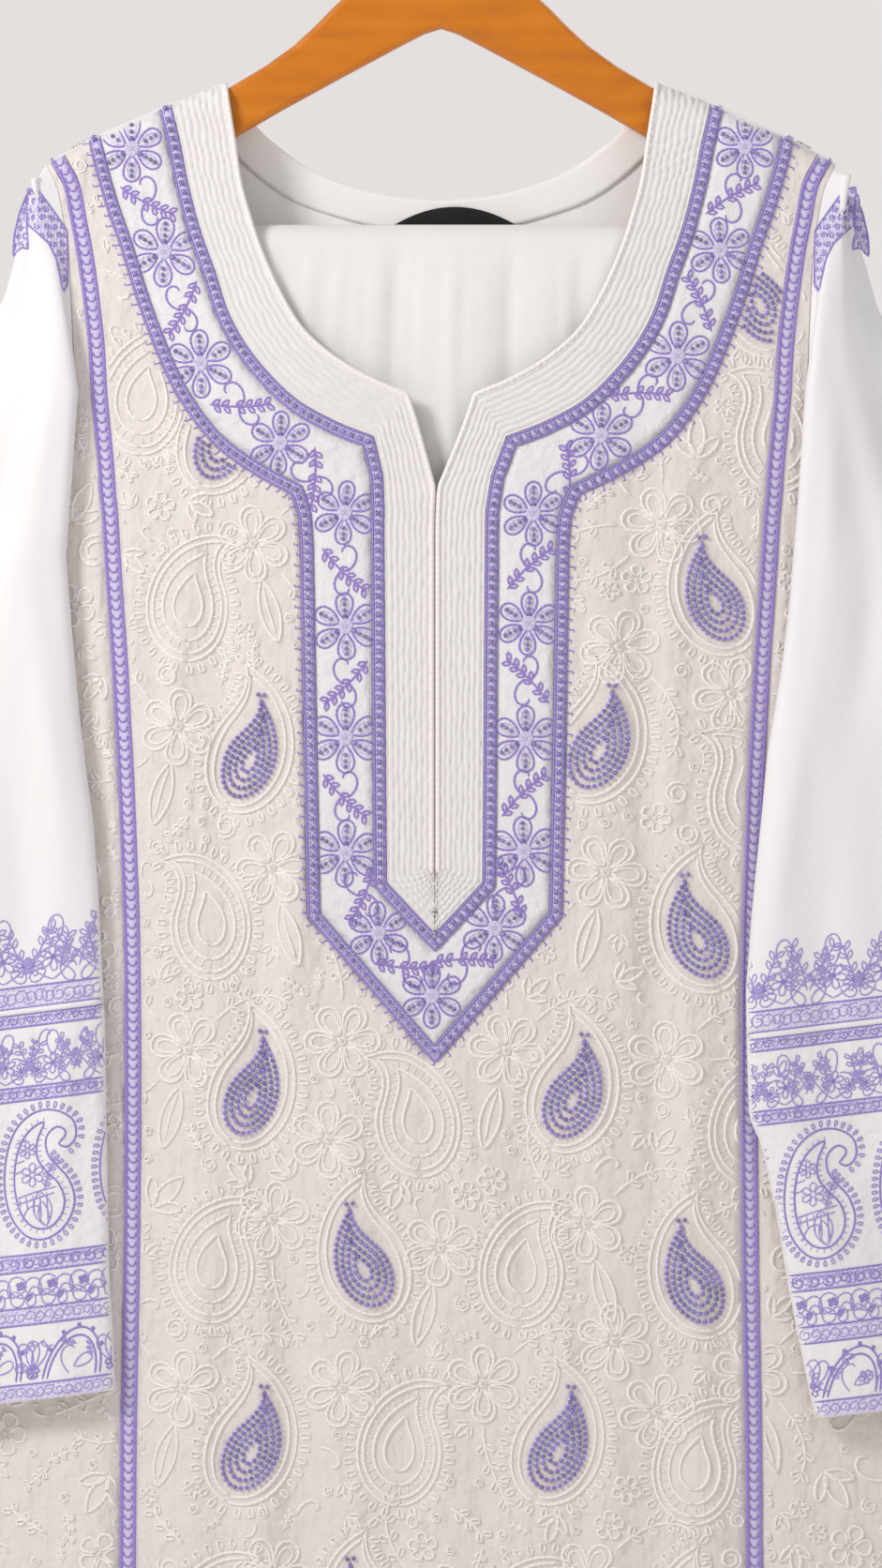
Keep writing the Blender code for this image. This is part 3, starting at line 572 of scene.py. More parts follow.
def add_bump(tree, shader, height, strength, distance, normal=None):
    node = add_node(tree, "ShaderNodeBump", Strength=strength, Distance=distance)
    tree.links.new(height, node.inputs["Height"])
    if normal is not None:
        tree.links.new(normal, node.inputs["Normal"])
    tree.links.new(node.outputs["Normal"], shader.inputs["Normal"])
    return node.outputs["Normal"]


def tint(tree, shader, factor, stops):
    tree.links.new(colour_ramp(tree, factor, stops), shader.inputs["Base Color"])


def darker(colour, share):
    return tuple(value * share for value in colour)


def woven_cloth(name, colour, shade, pucker, sheen=0.25, drape=0.0):
    """Plain weave: two crossed thread waves, a faint slub in the colour and soft puckers whose
    hollows are painted in the shade colour.
    """
    material, tree, shader = new_material(
        name, colour, 0.82, ("Sheen Weight", sheen), ("Sheen Roughness", 0.5),
        ("Specular IOR Level", 0.25))
    place = coordinates(tree)
    scale = math.pi / (WEAVE_PITCH * MM * 10)
    weave = math_node(tree, "ADD", wave(tree, place, "X", scale, 1.2, 1.0, 2.0),
                      wave(tree, place, "Z", scale, 1.2, 1.0, 2.0))
    soft = noise(tree, place, 95.0, 4.0, 0.55)
    slub = noise(tree, coordinates(tree, (1.0, 1.0, 0.25)), 420.0, 3.0)
    # The tone follows the puckers' noise as well as the slub: painted shade in the puckers' hollows
    tone = weighted(tree, (soft, 0.6), (slub, 0.4))
    tint(tree, shader, tone, ((0.32, darker(colour, shade)), (0.68, colour)))
    fine = add_bump(tree, shader, weave, 0.35, 0.00012)
    puckered = add_bump(tree, shader, soft, pucker, 0.002, fine)
    if drape:
        streaks = noise(tree, coordinates(tree, (1.0, 1.0, 0.2)), 48.0, 3.0)
        add_bump(tree, shader, streaks, drape, 0.006, puckered)
    return material


def satin_cloth(name, colour, shade, pucker=0.0):
    """Fine twill: one slanted thread wave, a soft sheen and long shallow puckers whose troughs are
    painted in the shade colour.
    """
    material, tree, shader = new_material(
        name, colour, 0.5, ("Sheen Weight", 0.3), ("Sheen Roughness", 0.4),
        ("Specular IOR Level", 0.35))
    place = coordinates(tree)
    slant = coordinates(tree, (1.0, 1.0, 0.6))
    twill = wave(tree, slant, "DIAGONAL", math.pi / (TWILL_PITCH * MM * 10), 1.5, 2.0)
    long_soft = noise(tree, coordinates(tree, (1.0, 1.0, 0.22)), 60.0, 3.0)
    # The tone follows the long puckers' noise: painted shade in their troughs, with a fine random
    # speckle
    tone = weighted(tree, (long_soft, 0.7), (noise(tree, place, 900.0, 2.0), 0.3))
    tint(tree, shader, tone, ((0.3, darker(colour, shade)), (0.7, colour)))
    fine = add_bump(tree, shader, twill, 0.3, 0.0001)
    soft = add_bump(tree, shader, long_soft, 0.35, 0.001, fine)
    if pucker:
        add_bump(tree, shader, noise(tree, place, 130.0, 4.0), pucker, 0.002, soft)
    return material


def thread(name, colour, shade, pitch=1.3, roughness=0.55):
    """Stitched thread: slanted plies along the length, which the texture's v counts in mm; the
    grooves between plies are painted in the shade colour.
    """
    material, tree, shader = new_material(name, colour, roughness, ("Sheen Weight", 0.3),
                                          ("Specular IOR Level", 0.4))
    plies = wave(tree, coordinates(tree, source="UV"), "DIAGONAL", math.pi / (pitch * 10), 1.0, 1.0)
    # The tone follows the plies' wave: painted shade in the grooves between them, with a random
    # speckle
    tone = weighted(tree, (plies, 0.55), (noise(tree, coordinates(tree), 700.0, 2.0), 0.5))
    tint(tree, shader, tone, ((0.2, darker(colour, shade)), (0.75, colour)))
    add_bump(tree, shader, plies, 0.5, 0.0003)
    return material


def bead_glass(name, colour):
    material, tree, shader = new_material(
        name, colour, 0.38, ("Metallic", 0.45), ("Specular IOR Level", 0.9),
        ("Coat Weight", 1.0), ("Coat Roughness", 0.3))
    tone = noise(tree, coordinates(tree), 160.0, 1.0)
    tint(tree, shader, tone, ((0.3, darker(colour, 0.55)), (0.7, colour)))
    return material


def varnished_wood():
    """Honey wood: long grain along the arms, fine pores, darker streaks and a clear coat."""
    material, tree, shader = new_material(
        "varnished_wood", HONEY, 0.38, ("Coat Weight", 0.06), ("Coat Roughness", 0.3),
        ("Specular IOR Level", 0.25))
    grain_place = coordinates(tree, (1.0, 1.0, 3.2))
    grain = noise(tree, grain_place, 26.0, 6.0, 0.62)
    rings = wave(tree, grain_place, "Z", 9.0, 5.0, 3.0)
    pores = noise(tree, coordinates(tree, (1.0, 1.0, 9.0)), 260.0, 2.0)
    tone = weighted(tree, (grain, 0.7), (rings, 0.12), (pores, 0.2))
    tint(tree, shader, tone, ((0.2, DARK_HONEY), (0.5, HONEY), (0.85, PALE_HONEY)))
    add_bump(tree, shader, pores, 0.12, 0.0003)
    return material


def polished_steel():
    material, tree, shader = new_material("polished_steel", STEEL, 0.18, ("Metallic", 1.0))
    scuff = noise(tree, coordinates(tree), 240.0, 4.0)
    rough = colour_ramp(tree, scuff, ((0.3, (0.12, 0.12, 0.12)), (0.8, (0.3, 0.3, 0.3))))
    tree.links.new(rough, shader.inputs["Roughness"])
    return material


def stage_material(name, colour):
    material, tree, shader = new_material(
        name, colour, 0.9, ("Emission Color", (*colour, 1.0)), ("Emission Strength", STAGE_GLOW))
    grain = noise(tree, coordinates(tree), 3.0, 4.0)
    tint(tree, shader, grain, ((0.3, darker(colour, 0.985)), (0.7, colour)))
    return material


MATERIALS = {
    "cloth": woven_cloth("warm_white_cloth", WARM_WHITE, 0.95, 1.2, drape=0.8),
    "yoke": woven_cloth("stitched_yoke_cloth", YOKE_WHITE, 0.96, 0.3),
    "back_painted_light": woven_cloth("back_cloth_painted_light", BACK_WHITE_PAINTED_LIGHT, 0.97, 0.2),
    "strip": woven_cloth("strip_cloth", STRIP_LAVENDER, 0.9, 0.2),
    "pants": woven_cloth("pant_cloth", PANT_WHITE, 0.97, 0.2),
    "border": satin_cloth("border_cloth_weave", BORDER_WHITE, 0.93, 1.0),
    "satin": satin_cloth("cool_white_satin", COOL_WHITE, 0.97),
    "puckered": satin_cloth("puckered_satin", COOL_WHITE, 0.95, 0.9),
    "cord": thread("white_cord", CORD_WHITE, 0.93, 1.5, 0.7),
    "lavender": thread("lavender_thread", LAVENDER, 0.75, 1.2),
    "pale_lavender": thread("pale_lavender_thread", PALE_LAVENDER, 0.8),
    "sleeve_thread": thread("sleeve_thread", SLEEVE_LAVENDER, 0.8),
    "bead": bead_glass("violet_beads", BEAD_VIOLET),
    "label": woven_cloth("black_label_weave", BLACK, 1.6, 0.1, sheen=0.05),
    "wood": varnished_wood(),
    "steel": polished_steel(),
}


# Kurta front
def lower_line(columns):
    """The guide carried down to the hem, in steps of about six millimetres."""
    heights = np.linspace(FRONT_GUIDES[-1][STRIP + 1], HEM_HEIGHT, 96)[1:]
    table = [(row[0], row[columns]) for row in LOWER_STATIONS]
    start = {1: FRONT_GUIDES[-1][STRIP], 2: FRONT_GUIDES[-1][EDGE]}[columns]
    table.append((FRONT_GUIDES[-1][STRIP + 1], start))
    return np.stack([lookup(table, heights), heights], axis=1)


def on_front(rows, lift):
    return front_point(rows[..., 0], rows[..., 1], lift)


def yoke_relief(rows):
    """Corded rows: rounded ridges across, each pinched where its stitches go through."""
    share = np.linspace(0.0, 1.0, rows.shape[1])[None, :]
    along = path_lengths(rows[:, -1])[:, None]
    wobble = 0.15 * np.sin(along / 2.3 + 5 * share) + 0.10 * np.sin(along / 7.7 + 1.7 + 9 * share)
    phase = share * RIB_COUNT + wobble * np.sin(share * math.pi)
    ridge = np.abs(np.sin(phase * math.pi)) ** 0.75
    pinch = 0.62 + 0.38 * np.cos(along * 2 * math.pi / 5.2 + np.floor(phase) * 2.1)
    flat_edge = smooth(share * 40) * smooth((1 - share) * 40)
    return RIB_HEIGHT * ridge * pinch * flat_edge


def build_front():
    neck, yoke, border, strip, edge = (guide(c) for c in (NECK, YOKE, BORDER, STRIP, EDGE))
    offset = TRIM_WIDTH / 2 + SEAM_GAP
    inner = np.maximum(neck, [SEAM_GAP / 2, -1e4])
    outer = np.maximum(shifted(yoke, -offset, True), [SEAM_GAP / 2, -1e4])
    yoke_rows = between(inner, outer, 52)
    relief = CLOTH_WALL + yoke_relief(yoke_rows)
    for side, rows in (("right", yoke_rows), ("left", flipped(yoke_rows))):
        grid = on_front(rows, relief)
        piece = cloth_piece("yoke_cloth_" + side, [(grid, side == "right")], MATERIALS["yoke"],
                            "neck_yoke_" + side)
        declare_sheet(piece, [grid], 62, 430)

    band = both_halves(between(shifted(yoke, offset, True), shifted(border, -offset, True), 6))
    grid = on_front(band, CLOTH_WALL)
    piece = cloth_piece("border_cloth", [(grid, True)], MATERIALS["border"], "neck_border")
    declare_sheet(piece, [grid], 38, 1020)

    strip_line = np.concatenate([strip, lower_line(1)])
    side_line = np.concatenate([edge, lower_line(2)])
    centre = shifted(border, offset, True)
    heights = strip_line[len(strip):, 1]
    centre = np.concatenate([centre, np.stack([0 * heights, heights], axis=1)])
    half_strip = STRIP_WIDTH / 2
    rows = between(centre, shifted(strip_line, -half_strip - SEAM_GAP), 28)
    grids = [on_front(rows, CLOTH_WALL), on_front(flipped(rows), CLOTH_WALL)]
    piece = cloth_piece("front_centre_cloth", [(grids[0], True), (grids[1], False)],
                        MATERIALS["cloth"], "kurta_front_centre")
    declare_sheet(piece, grids, 370, 1060)

    strip_rows = between(shifted(strip_line, -half_strip), shifted(strip_line, half_strip), 2)
    side_rows = between(shifted(strip_line, half_strip + SEAM_GAP), side_line, 10)
    for side in ("right", "left"):
        turn = flipped if side == "left" else np.copy
        grid = on_front(turn(strip_rows), CLOTH_WALL)
        piece = cloth_piece("strip_cloth_" + side, [(grid, side == "right")],
                            MATERIALS["strip"], "seam_strip_" + side)
        declare_sheet(piece, [grid], 14, 1030)
        grid = on_front(turn(side_rows), CLOTH_WALL)
        piece = cloth_piece("front_side_cloth_" + side, [(grid, side == "right")],
                            MATERIALS["cloth"], "kurta_front_side_" + side)
        declare_sheet(piece, [grid], 150, 1030)
    return {"neck": neck, "yoke": yoke, "border": border, "strip": strip_line, "edge": side_line}


# Kurta back, facing and label
def back_rows(columns):
    edge = np.concatenate([guide(EDGE), lower_line(2)])
    armpit = sum(STATION_STEPS[:ARMPIT_STATION])
    reach = np.abs(columns)
    top = np.where(reach < BACK_NECK[-1][0], lookup(smooth_table(BACK_NECK), reach),
                   lookup(SHOULDER_LINE, reach))
    share = (edge[:, 1] - edge[0, 1]) / (ARMPIT_HEIGHT - edge[0, 1])
    upper = top[None, :] + (ARMPIT_HEIGHT - top)[None, :] * share[:, None]
    heights = np.where(np.arange(len(edge))[:, None] >= armpit, edge[:, 1][:, None], upper)
    across = columns[None, :] / edge[0, 0] * edge[:, 0][:, None]
    return np.stack([across, heights], axis=-1)


def build_back():
    """Columns close up at the corner of the neck; every second row is enough for the back."""
    near_neck = (97.0, 99.0, 100.5, 101.6, 102.4, 103.0, 103.5)
    half = np.concatenate([np.linspace(0, 94, 16), near_neck, np.linspace(107, 190.5, 14)])
    columns = np.concatenate([-half[:0:-1], half])
    rows = back_rows(columns)
    rows = np.concatenate([rows[:-1:2], rows[-1:]])
    grid = back_point(rows[..., 0], rows[..., 1], CLOTH_WALL)
    # The back cloth and the facing take the brighter white: painted light over their shade
    piece = cloth_piece("back_cloth", [(grid, False)], MATERIALS["back_painted_light"], "kurta_back")
    declare_sheet(piece, [grid], 600, 1060)

    across = np.linspace(-103, 103, 67)
    top = lookup(smooth_table(BACK_NECK), np.abs(across))
    low = lookup(smooth_table(FACING_LOW), np.abs(across))
    share = np.linspace(0, 1, 9)[:, None]
    heights = top[None, :] + (low - top)[None, :] * share
    grid = back_point(np.broadcast_to(across, heights.shape), heights, FACING_LIFT)
    piece = cloth_piece("facing_cloth", [(grid, True)], MATERIALS["back_painted_light"], "back_neck_facing",
                        LINING_WALL)
    declare_sheet(piece, [grid], 200, 62, "laid", ["back_cloth"])

    across = np.linspace(-1, 1, 25)
    top = LABEL_TOP - LABEL_SAG * across ** 2
    share = np.linspace(0, 1, 17)[:, None]
    heights = top[None, :] + (LABEL_BOTTOM - top)[None, :] * share
    x = np.broadcast_to(LABEL_CENTRE + LABEL_HALF_WIDTH * across, heights.shape)
    grid = back_point(x, heights, LABEL_LIFT)
    piece = cloth_piece("label_cloth", [(grid, True)], MATERIALS["label"], "neck_label",
                        LINING_WALL)
    declare_sheet(piece, [grid], 63, 38, "laid", ["facing_cloth"])


# Sleeves: turns of the armhole seam over the hanger's arm, the grid's columns and rows, and
# where the fold rolls under, the tilt sets in and the tube closes, with over what height
CAP_ANGLES = (90, 60, 30, 12, 0, -12, -30, -45, -60, -68, -75, -80, -85, -90)
SLEEVE_COLUMNS = 84
SLEEVE_LEVEL_STEP = 4.9
ROLL_FROM, ROLL_OVER = -205.0, 90.0
TILT_FROM, TILT_OVER = -200.0, 170.0
TUBE_FROM = -340.0


def sleeve_top_row(edge):
    """Section controls of the armhole seam where it passes over the hanger's arm."""
    turn = np.radians(CAP_ANGLES)
    z = edge[0, 1] - ARM_ROUND * (1 - np.cos(turn))
    x = np.interp(-z, -edge[:, 1], edge[:, 0])
    over = np.where(turn[:, None] > 0, back_point(x, z, CLOTH_WALL), front_point(x, z, CLOTH_WALL))
    return over + [0.1, 0.0, 0.0]


def sleeve_row(table, seam_x, seam_z, level, closed):
    """Section controls of the sleeve at one level, from the back seam round to the front."""
    rolled = smooth((ROLL_FROM - level) / ROLL_OVER)
    tilt = table["tilt"] * smooth((TILT_FROM - level) / TILT_OVER)
    inner_x = lookup(table["inner"], level)
    inner_x = lookup(table["inner"], seam_z - tilt * (seam_x - inner_x))
    outer_x = lookup(table["outer"], seam_z + 3.0)

    def height(x):
        return seam_z + tilt * (x - seam_x) + 3.0 * (1 - rolled) * (x - seam_x) / (outer_x - seam_x)

    def body_front(x):
        z = height(x)
        plain_depth = cloth_depth(x, z, FRONT_DEPTH, FRONT_FALL, FRONT_FOLDS, ())
        return -plain_depth - SEAM_GAP / 2 - CLOTH_WALL

    def lower_back(x):
        return body_front(x) - BODY_CLEARANCE

    below = smooth((TUBE_FROM - level) / (TUBE_FROM - ARMPIT_HEIGHT))
    seam_front = body_front(seam_x) - 0.5 * rolled
    seam_back = back_depth(seam_x, seam_z) + SEAM_GAP / 2 + CLOTH_WALL
    start = (seam_x, seam_back, seam_z)
    end = (seam_x, seam_front, seam_z)
    if closed:
        start = end = (seam_x, lower_back(seam_x), seam_z)
    fold_out_back = 5.0 + (lower_back(outer_x) - 5.0) * below
    fold_out_front = -5.0 + (lower_back(outer_x) - TUBE_DEPTH + 5.0) * below
    front_in = lower_back(inner_x) - TUBE_DEPTH
    fold_end = inner_x + FOLD_REACH
    roll_z = height(inner_x)
    rolled_controls = np.array((
        (fold_end, front_in, height(fold_end)),
        (inner_x + 1.2, front_in + TUBE_DEPTH * 0.2, roll_z),
        (inner_x, front_in + TUBE_DEPTH * 0.5, roll_z),
        (inner_x + 1.2, front_in + TUBE_DEPTH * 0.8, roll_z),
        (fold_end, lower_back(fold_end), height(fold_end)),
    ), float)
    flat_front = np.array((seam_x + 12.0, seam_front - 2.5, height(seam_x + 12.0)), float)
    near = mix(flat_front, rolled_controls[0], rolled)
    middle_x = (seam_x + outer_x) / 2
    middle_y = lower_back(middle_x) if closed else (start[1] + fold_out_back) / 2
    lip = min(5.0, (outer_x - seam_x) / 3)
    tip_back = mix(fold_out_back, fold_out_front, 0.25)
    tip_front = mix(fold_out_back, fold_out_front, 0.75)
    first_front = (outer_x - lip, fold_out_front, height(outer_x - lip))
    controls = [
        start,
        (middle_x, middle_y + 2.5 * (1 - below), height(middle_x)),
        (outer_x - lip, fold_out_back, height(outer_x - lip)),
        (outer_x - lip * 0.25, tip_back, height(outer_x)),
        (outer_x - lip * 0.25, tip_front, height(outer_x)),
        first_front,
    ]
    for share, wave in ((0.33, -1.0), (0.67, 1.0)):
        crown = 3.0 + SLEEVE_WAVE * wave * below
        controls.append(mix(np.array(first_front, float), near, share) - (0.0, crown, 0.0))
    controls.append(near)
    for share, control in zip((0.25, 0.5, 0.75, 0.9), rolled_controls[1:]):
        controls.append(mix(mix(near, np.array(end, float), share), control, rolled))
    controls.append(end)
    return np.array([[float(value) for value in control] for control in controls])


def even_section(controls, closed):
    """The section's points at even spacing, with its corners smoothed away."""
    lengths = path_lengths(controls)
    points = points_at(np.linspace(0.0, lengths[-1], SLEEVE_COLUMNS + 1), lengths, controls)
    for _ in range(3):
        if closed:
            ring = points[:-1]
            ring = 0.25 * np.roll(ring, 1, axis=0) + 0.5 * ring + 0.25 * np.roll(ring, -1, axis=0)
            points = np.vstack([ring, ring[:1]])
        else:
            points[1:-1] = 0.25 * points[:-2] + 0.5 * points[1:-1] + 0.25 * points[2:]
    return points


# Long folds of the sleeves: place across as a share from the seam side, then width, height,
# sway and its period down the sleeve in millimetres, and the sway's phase
SLEEVE_FOLDS = {
    "left": (
        (0.16, 8.0, 3.0, 5.0, 420.0, 0.0), (0.36, 10.0, -3.6, 7.0, 380.0, 1.0),
        (0.56, 9.0, 4.0, 6.0, 330.0, 2.2), (0.76, 10.0, -3.4, 5.0, 400.0, 3.4),
        (0.90, 7.0, 2.6, 4.0, 300.0, 4.0),
    ),
    "right": (
        (0.14, 8.0, 3.2, 5.0, 400.0, 0.6), (0.34, 10.0, -3.6, 6.0, 350.0, 2.0),
        (0.55, 9.0, 3.8, 7.0, 420.0, 3.0), (0.74, 10.0, -3.4, 5.0, 310.0, 4.1),
        (0.90, 7.0, 2.6, 4.0, 360.0, 5.0),
    ),
}


def sleeve_relief(side, section, level):
    """How far each point of the section comes forward in the sleeve's long folds."""
    x, y = section[:, 0], section[:, 1]
    low, high = x.min(), x.max()
    middle = (y.min() + y.max()) / 2
    front = smooth((middle - y) / 4.0)
    relief = np.zeros(len(x))
    for share, width, height, sway, period, phase in SLEEVE_FOLDS[side]:
        centre = low + share * (high - low)
        centre += sway * math.sin(2 * math.pi * level / period + phase)
        swell = 0.65 + 0.35 * math.sin(2 * math.pi * level / 170.0 + phase * 2)
        relief += height * swell * np.exp(-((x - centre) / width) ** 2)
    reach = smooth((-215.0 - level) / 110.0)
    return relief * front * reach


def sleeve_sections(side):
    """Two grids, upper sleeve and border, each with its row levels; the sign isn't applied."""
    table = SLEEVES[side]
    edge = guide(EDGE)
    first_span = STATION_STEPS[0]
    armpit = sum(STATION_STEPS[:ARMPIT_STATION])
    rows, levels, closed = [], [], []
    top = sleeve_top_row(edge)
    for index in range(armpit):
        edge_x, edge_z = edge[index]
        seam_x = edge_x + SLEEVE_SEAM * (1 + smooth((-330.0 - edge_z) / 50.0))
        if index < first_span:
            low_x, low_z = edge[first_span]
            low = sleeve_row(table, low_x + SLEEVE_SEAM, low_z, low_z, False)
            rows.append(mix(top, low, (edge[0, 1] - edge_z) / (edge[0, 1] - low_z)))
        else:
            rows.append(sleeve_row(table, seam_x, edge_z, edge_z, False))
        levels.append(edge_z)
        closed.append(False)
    steps = int((ARMPIT_HEIGHT - BORDER_START) / SLEEVE_LEVEL_STEP)
    armpit_x = edge[armpit][0] + 2 * SLEEVE_SEAM
    for level in np.linspace(ARMPIT_HEIGHT, BORDER_START, steps):
        seam_x = mix(armpit_x, SLEEVE_MIDDLE, min(1.0, (ARMPIT_HEIGHT - level) / 22.0))
        rows.append(sleeve_row(table, seam_x, level, level, True))
        levels.append(level)
        closed.append(True)
    grids = []
    upper = [even_section(row, shut) for row, shut in zip(rows, closed)]
    for section, level in zip(upper, levels):
        section[:, 1] -= sleeve_relief(side, section, level)
    grids.append((np.array(upper), np.array(levels)))
    steps = int((BORDER_START - table["cuff"]) / SLEEVE_LEVEL_STEP)
    levels = np.linspace(BORDER_START - SEAM_GAP, table["cuff"], steps)
    lower = []
    for level in levels:
        section = even_section(sleeve_row(table, SLEEVE_MIDDLE, level, level, True), True)
        section[:, 1] -= sleeve_relief(side, section, level)
        lower.append(section)
    grids.append((np.array(lower), levels))
    return grids


def build_sleeves():
    made = {}
    for side, table in SLEEVES.items():
        made[side] = sleeve_sections(side)
        width = 225 if side == "left" else 222
        for name, node, (grid, _), finish, cut in (
                ("sleeve_cloth_", "sleeve_", made[side][0], "satin", (width, 415)),
                ("sleeve_border_cloth_", "sleeve_border_", made[side][1], "puckered", (262, 188))):
            shown = grid * np.array([table["sign"], 1.0, 1.0])
            piece = cloth_piece(name + side, [(shown, side == "left")], MATERIALS[finish],
                                node + side)
            declare_sheet(piece, [shown], *cut)
    return made


# Pants folded over the bar: half widths by height in front and behind, and the fine gathers'
# count, height and phase
PANT_COLUMNS = 92
PANT_FRONT_WIDTHS = ((-640.0, 150.0), (-400.0, 136.0), (-222.0, 124.0))
PANT_BACK_WIDTHS = ((-640.0, 112.0), (-222.0, 124.0))
PANT_GATHERS = (
    (9.0, 1.0, 0.3), (15.0, 0.9, 1.7), (23.0, 0.8, 4.0), (37.0, 0.45, 2.1), (53.0, 0.25, 5.2),
)


def pant_half_width(z, front):
    return np.where(front, lookup(PANT_FRONT_WIDTHS, z), lookup(PANT_BACK_WIDTHS, z))


def pant_wave(across, z, front):
    """The solids' gathers, in millimetres out from the middle plane."""
    fade = 0.35 + 0.65 * smooth((-222.0 - z) / 40.0)
    waves = 0.7 * (1 + np.sin(across * 11.0 + 0.6)) + 0.4 * (1 + np.sin(across * 19.0))
    return np.where(front, fade * waves, 0.4 * (1 + np.sin(across * 7.0)))


def pant_grid(radius, gather):
    front_z = np.linspace(PANT_DROP_FRONT, BAR_HEIGHT, 50)[:-1]
    turn = np.linspace(0, math.pi, 13)
    back_z = np.linspace(BAR_HEIGHT, PANT_DROP_BACK, 15)[1:]
    y = np.concatenate([0 * front_z - radius, -radius * np.cos(turn), 0 * back_z + radius])
    z = np.concatenate([front_z, BAR_HEIGHT + radius * np.sin(turn), back_z])
    width_z = np.minimum(z, BAR_HEIGHT)
    front = (y < 0)[:, None]
    across = np.linspace(-1, 1, PANT_COLUMNS + 1)[None, :]
    wave = pant_wave(across, width_z[:, None], front)
    sway = 0.05 * np.sin(z / 60.0)[:, None]
    fine = sum(height * (1 + np.sin((across + sway) * count * 1.9 + phase))
               for count, height, phase in PANT_GATHERS)
    fall = smooth((BAR_HEIGHT + 6 - z) / 26.0)[:, None]
    wave = wave + gather * fine * np.where(front, fall, 0.2)
    x = across * pant_half_width(width_z[:, None], front)
    return np.stack([x, y[:, None] + wave * (y / radius)[:, None], z[:, None] + 0 * x], axis=-1)


def build_pants():
    inner_radius = BAR_RADIUS + PANT_SEAT
    outer_radius = inner_radius + PANT_WALL + PANT_LAYER_GAP
    for side, radius, gather in (("left", inner_radius, 0.0), ("right", outer_radius, 0.45)):
        grid = pant_grid(radius + PANT_WALL, gather)
        piece = cloth_piece("pant_cloth_" + side, [(grid, False)], MATERIALS["pants"],
                            "pant_leg_" + side, PANT_WALL)
        declare_sheet(piece, [grid], 290, 850, "folded", ["hanger_bar"])
    top = PANT_DROP_FRONT - SEAM_GAP
    across = np.linspace(-1, 1, WAISTBAND_COLUMNS + 1)[None, :]
    z = np.linspace(top, top - WAISTBAND_DEPTH, 6)[:, None]
    gather = 0.9 * np.abs(np.sin(across * 58)) * (0.8 + 0.2 * np.cos((z - top) * 2.0))
    y = -outer_radius - PANT_WALL - 0.4 - gather
    grid = np.stack([across * WAISTBAND_HALF_WIDTH + 0 * z, y, z + 0 * across], axis=-1)
    piece = cloth_piece("waistband_cloth", [(grid, True)], MATERIALS["pants"], "pant_waistband",
                        outer_radius - inner_radius + PANT_WALL)
    declare_sheet(piece, [grid], 320, 40, "gathered", ["pant_cloth_right"])


# Hanger: the wood and the steel keep the solids' shapes
def dress_hanger():
    for node, material in (("hanger_arms", "wood"), ("hanger_bar", "wood"),
                           ("hook_collar", "steel"), ("hanger_hook", "steel")):
        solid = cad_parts[node]
        for slot in solid.material_slots:
            slot.material = MATERIALS[material]


FRONT_LINES = build_front()
build_back()
SLEEVE_GRIDS = build_sleeves()
build_pants()
dress_hanger()


# Surfaces that carry the embroidery: from places (x, z) on the cloth to points in the frame
PROBE = 0.4
SLEEVE_MAP_STEP = 1.0


def body_surface(places):
    return front_point(places[:, 0], places[:, 1], CLOTH_WALL)


def sleeve_surface(side):
    """The sleeve's front face by signed x and by level, the height at its middle."""
    sign = SLEEVES[side]["sign"]
    across = np.arange(138.0, 312.0, SLEEVE_MAP_STEP)
    levels, depth, height, inner, outer = [], [], [], [], []
    for grid, grid_levels in SLEEVE_GRIDS[side]:
        for section, level in zip(grid, grid_levels):
            front = section[section[:, 0].argmax():]
            front = front[:front[:, 0].argmin() + 1][::-1]
            levels.append(level)
            inner.append(front[0, 0])
            outer.append(front[-1, 0])
            depth.append(np.interp(across, front[:, 0], front[:, 1]))
            height.append(np.interp(across, front[:, 0], front[:, 2]))
    order = np.argsort(levels)
    levels = np.array(levels)[order]
    depth, height = np.array(depth)[order], np.array(height)[order]

    def surface(places):
        column = np.clip((sign * places[:, 0] - across[0]) / SLEEVE_MAP_STEP, 0, len(across) - 1.001)
        row = np.clip(np.interp(places[:, 1], levels, np.arange(len(levels))), 0, len(levels) - 1.001)
        row_start, column_start = row.astype(int), column.astype(int)
        row_share, column_share = row - row_start, column - column_start
        found = []
        for table in (depth, height):
            upper = mix(table[row_start, column_start], table[row_start, column_start + 1],
                        column_share)
            lower = mix(table[row_start + 1, column_start],
                        table[row_start + 1, column_start + 1], column_share)
            found.append(mix(upper, lower, row_share))
        return np.stack([places[:, 0], found[0], found[1]], axis=1)

    edges = np.stack([levels, np.array(inner)[order], np.array(outer)[order]], axis=1)
    return surface, edges


def surface_frame(surface, places):
    at = surface(places)
    east = surface(places + np.array([PROBE, 0.0])) - at
    north = surface(places + np.array([0.0, PROBE])) - at
    normal = np.cross(east, north)
    normal[:, 1] -= 1e-6
    return at, unit(normal)


# Threads and beads: corners of a thread's section, how much it narrows at its ends, and the
# fewest points in a closed loop
THREAD_PROFILE = ((-1.0, -0.2), (-0.5, 0.8), (0.5, 0.8), (1.0, -0.2))
THREAD_END = 0.6
LOOP_POINTS = 6


def resampled(line, step):
    lengths = path_lengths(line)
    is_loop = np.linalg.norm(line[0] - line[-1]) < step / 2
    count = max(LOOP_POINTS if is_loop else 2, int(round(lengths[-1] / step)) + 1)
    place = np.linspace(0.0, lengths[-1], count)
    return points_at(place, lengths, line), place


def across_of(at, normal, first, last):
    """The direction across each path, from its points and the surface's normals."""
    ahead, behind = np.roll(at, -1, axis=0), np.roll(at, 1, axis=0)
    ahead[last], behind[first] = at[last], at[first]
    side = np.cross(ahead - behind, normal)
    return side / np.maximum(1e-9, np.linalg.norm(side, axis=1))[:, None]


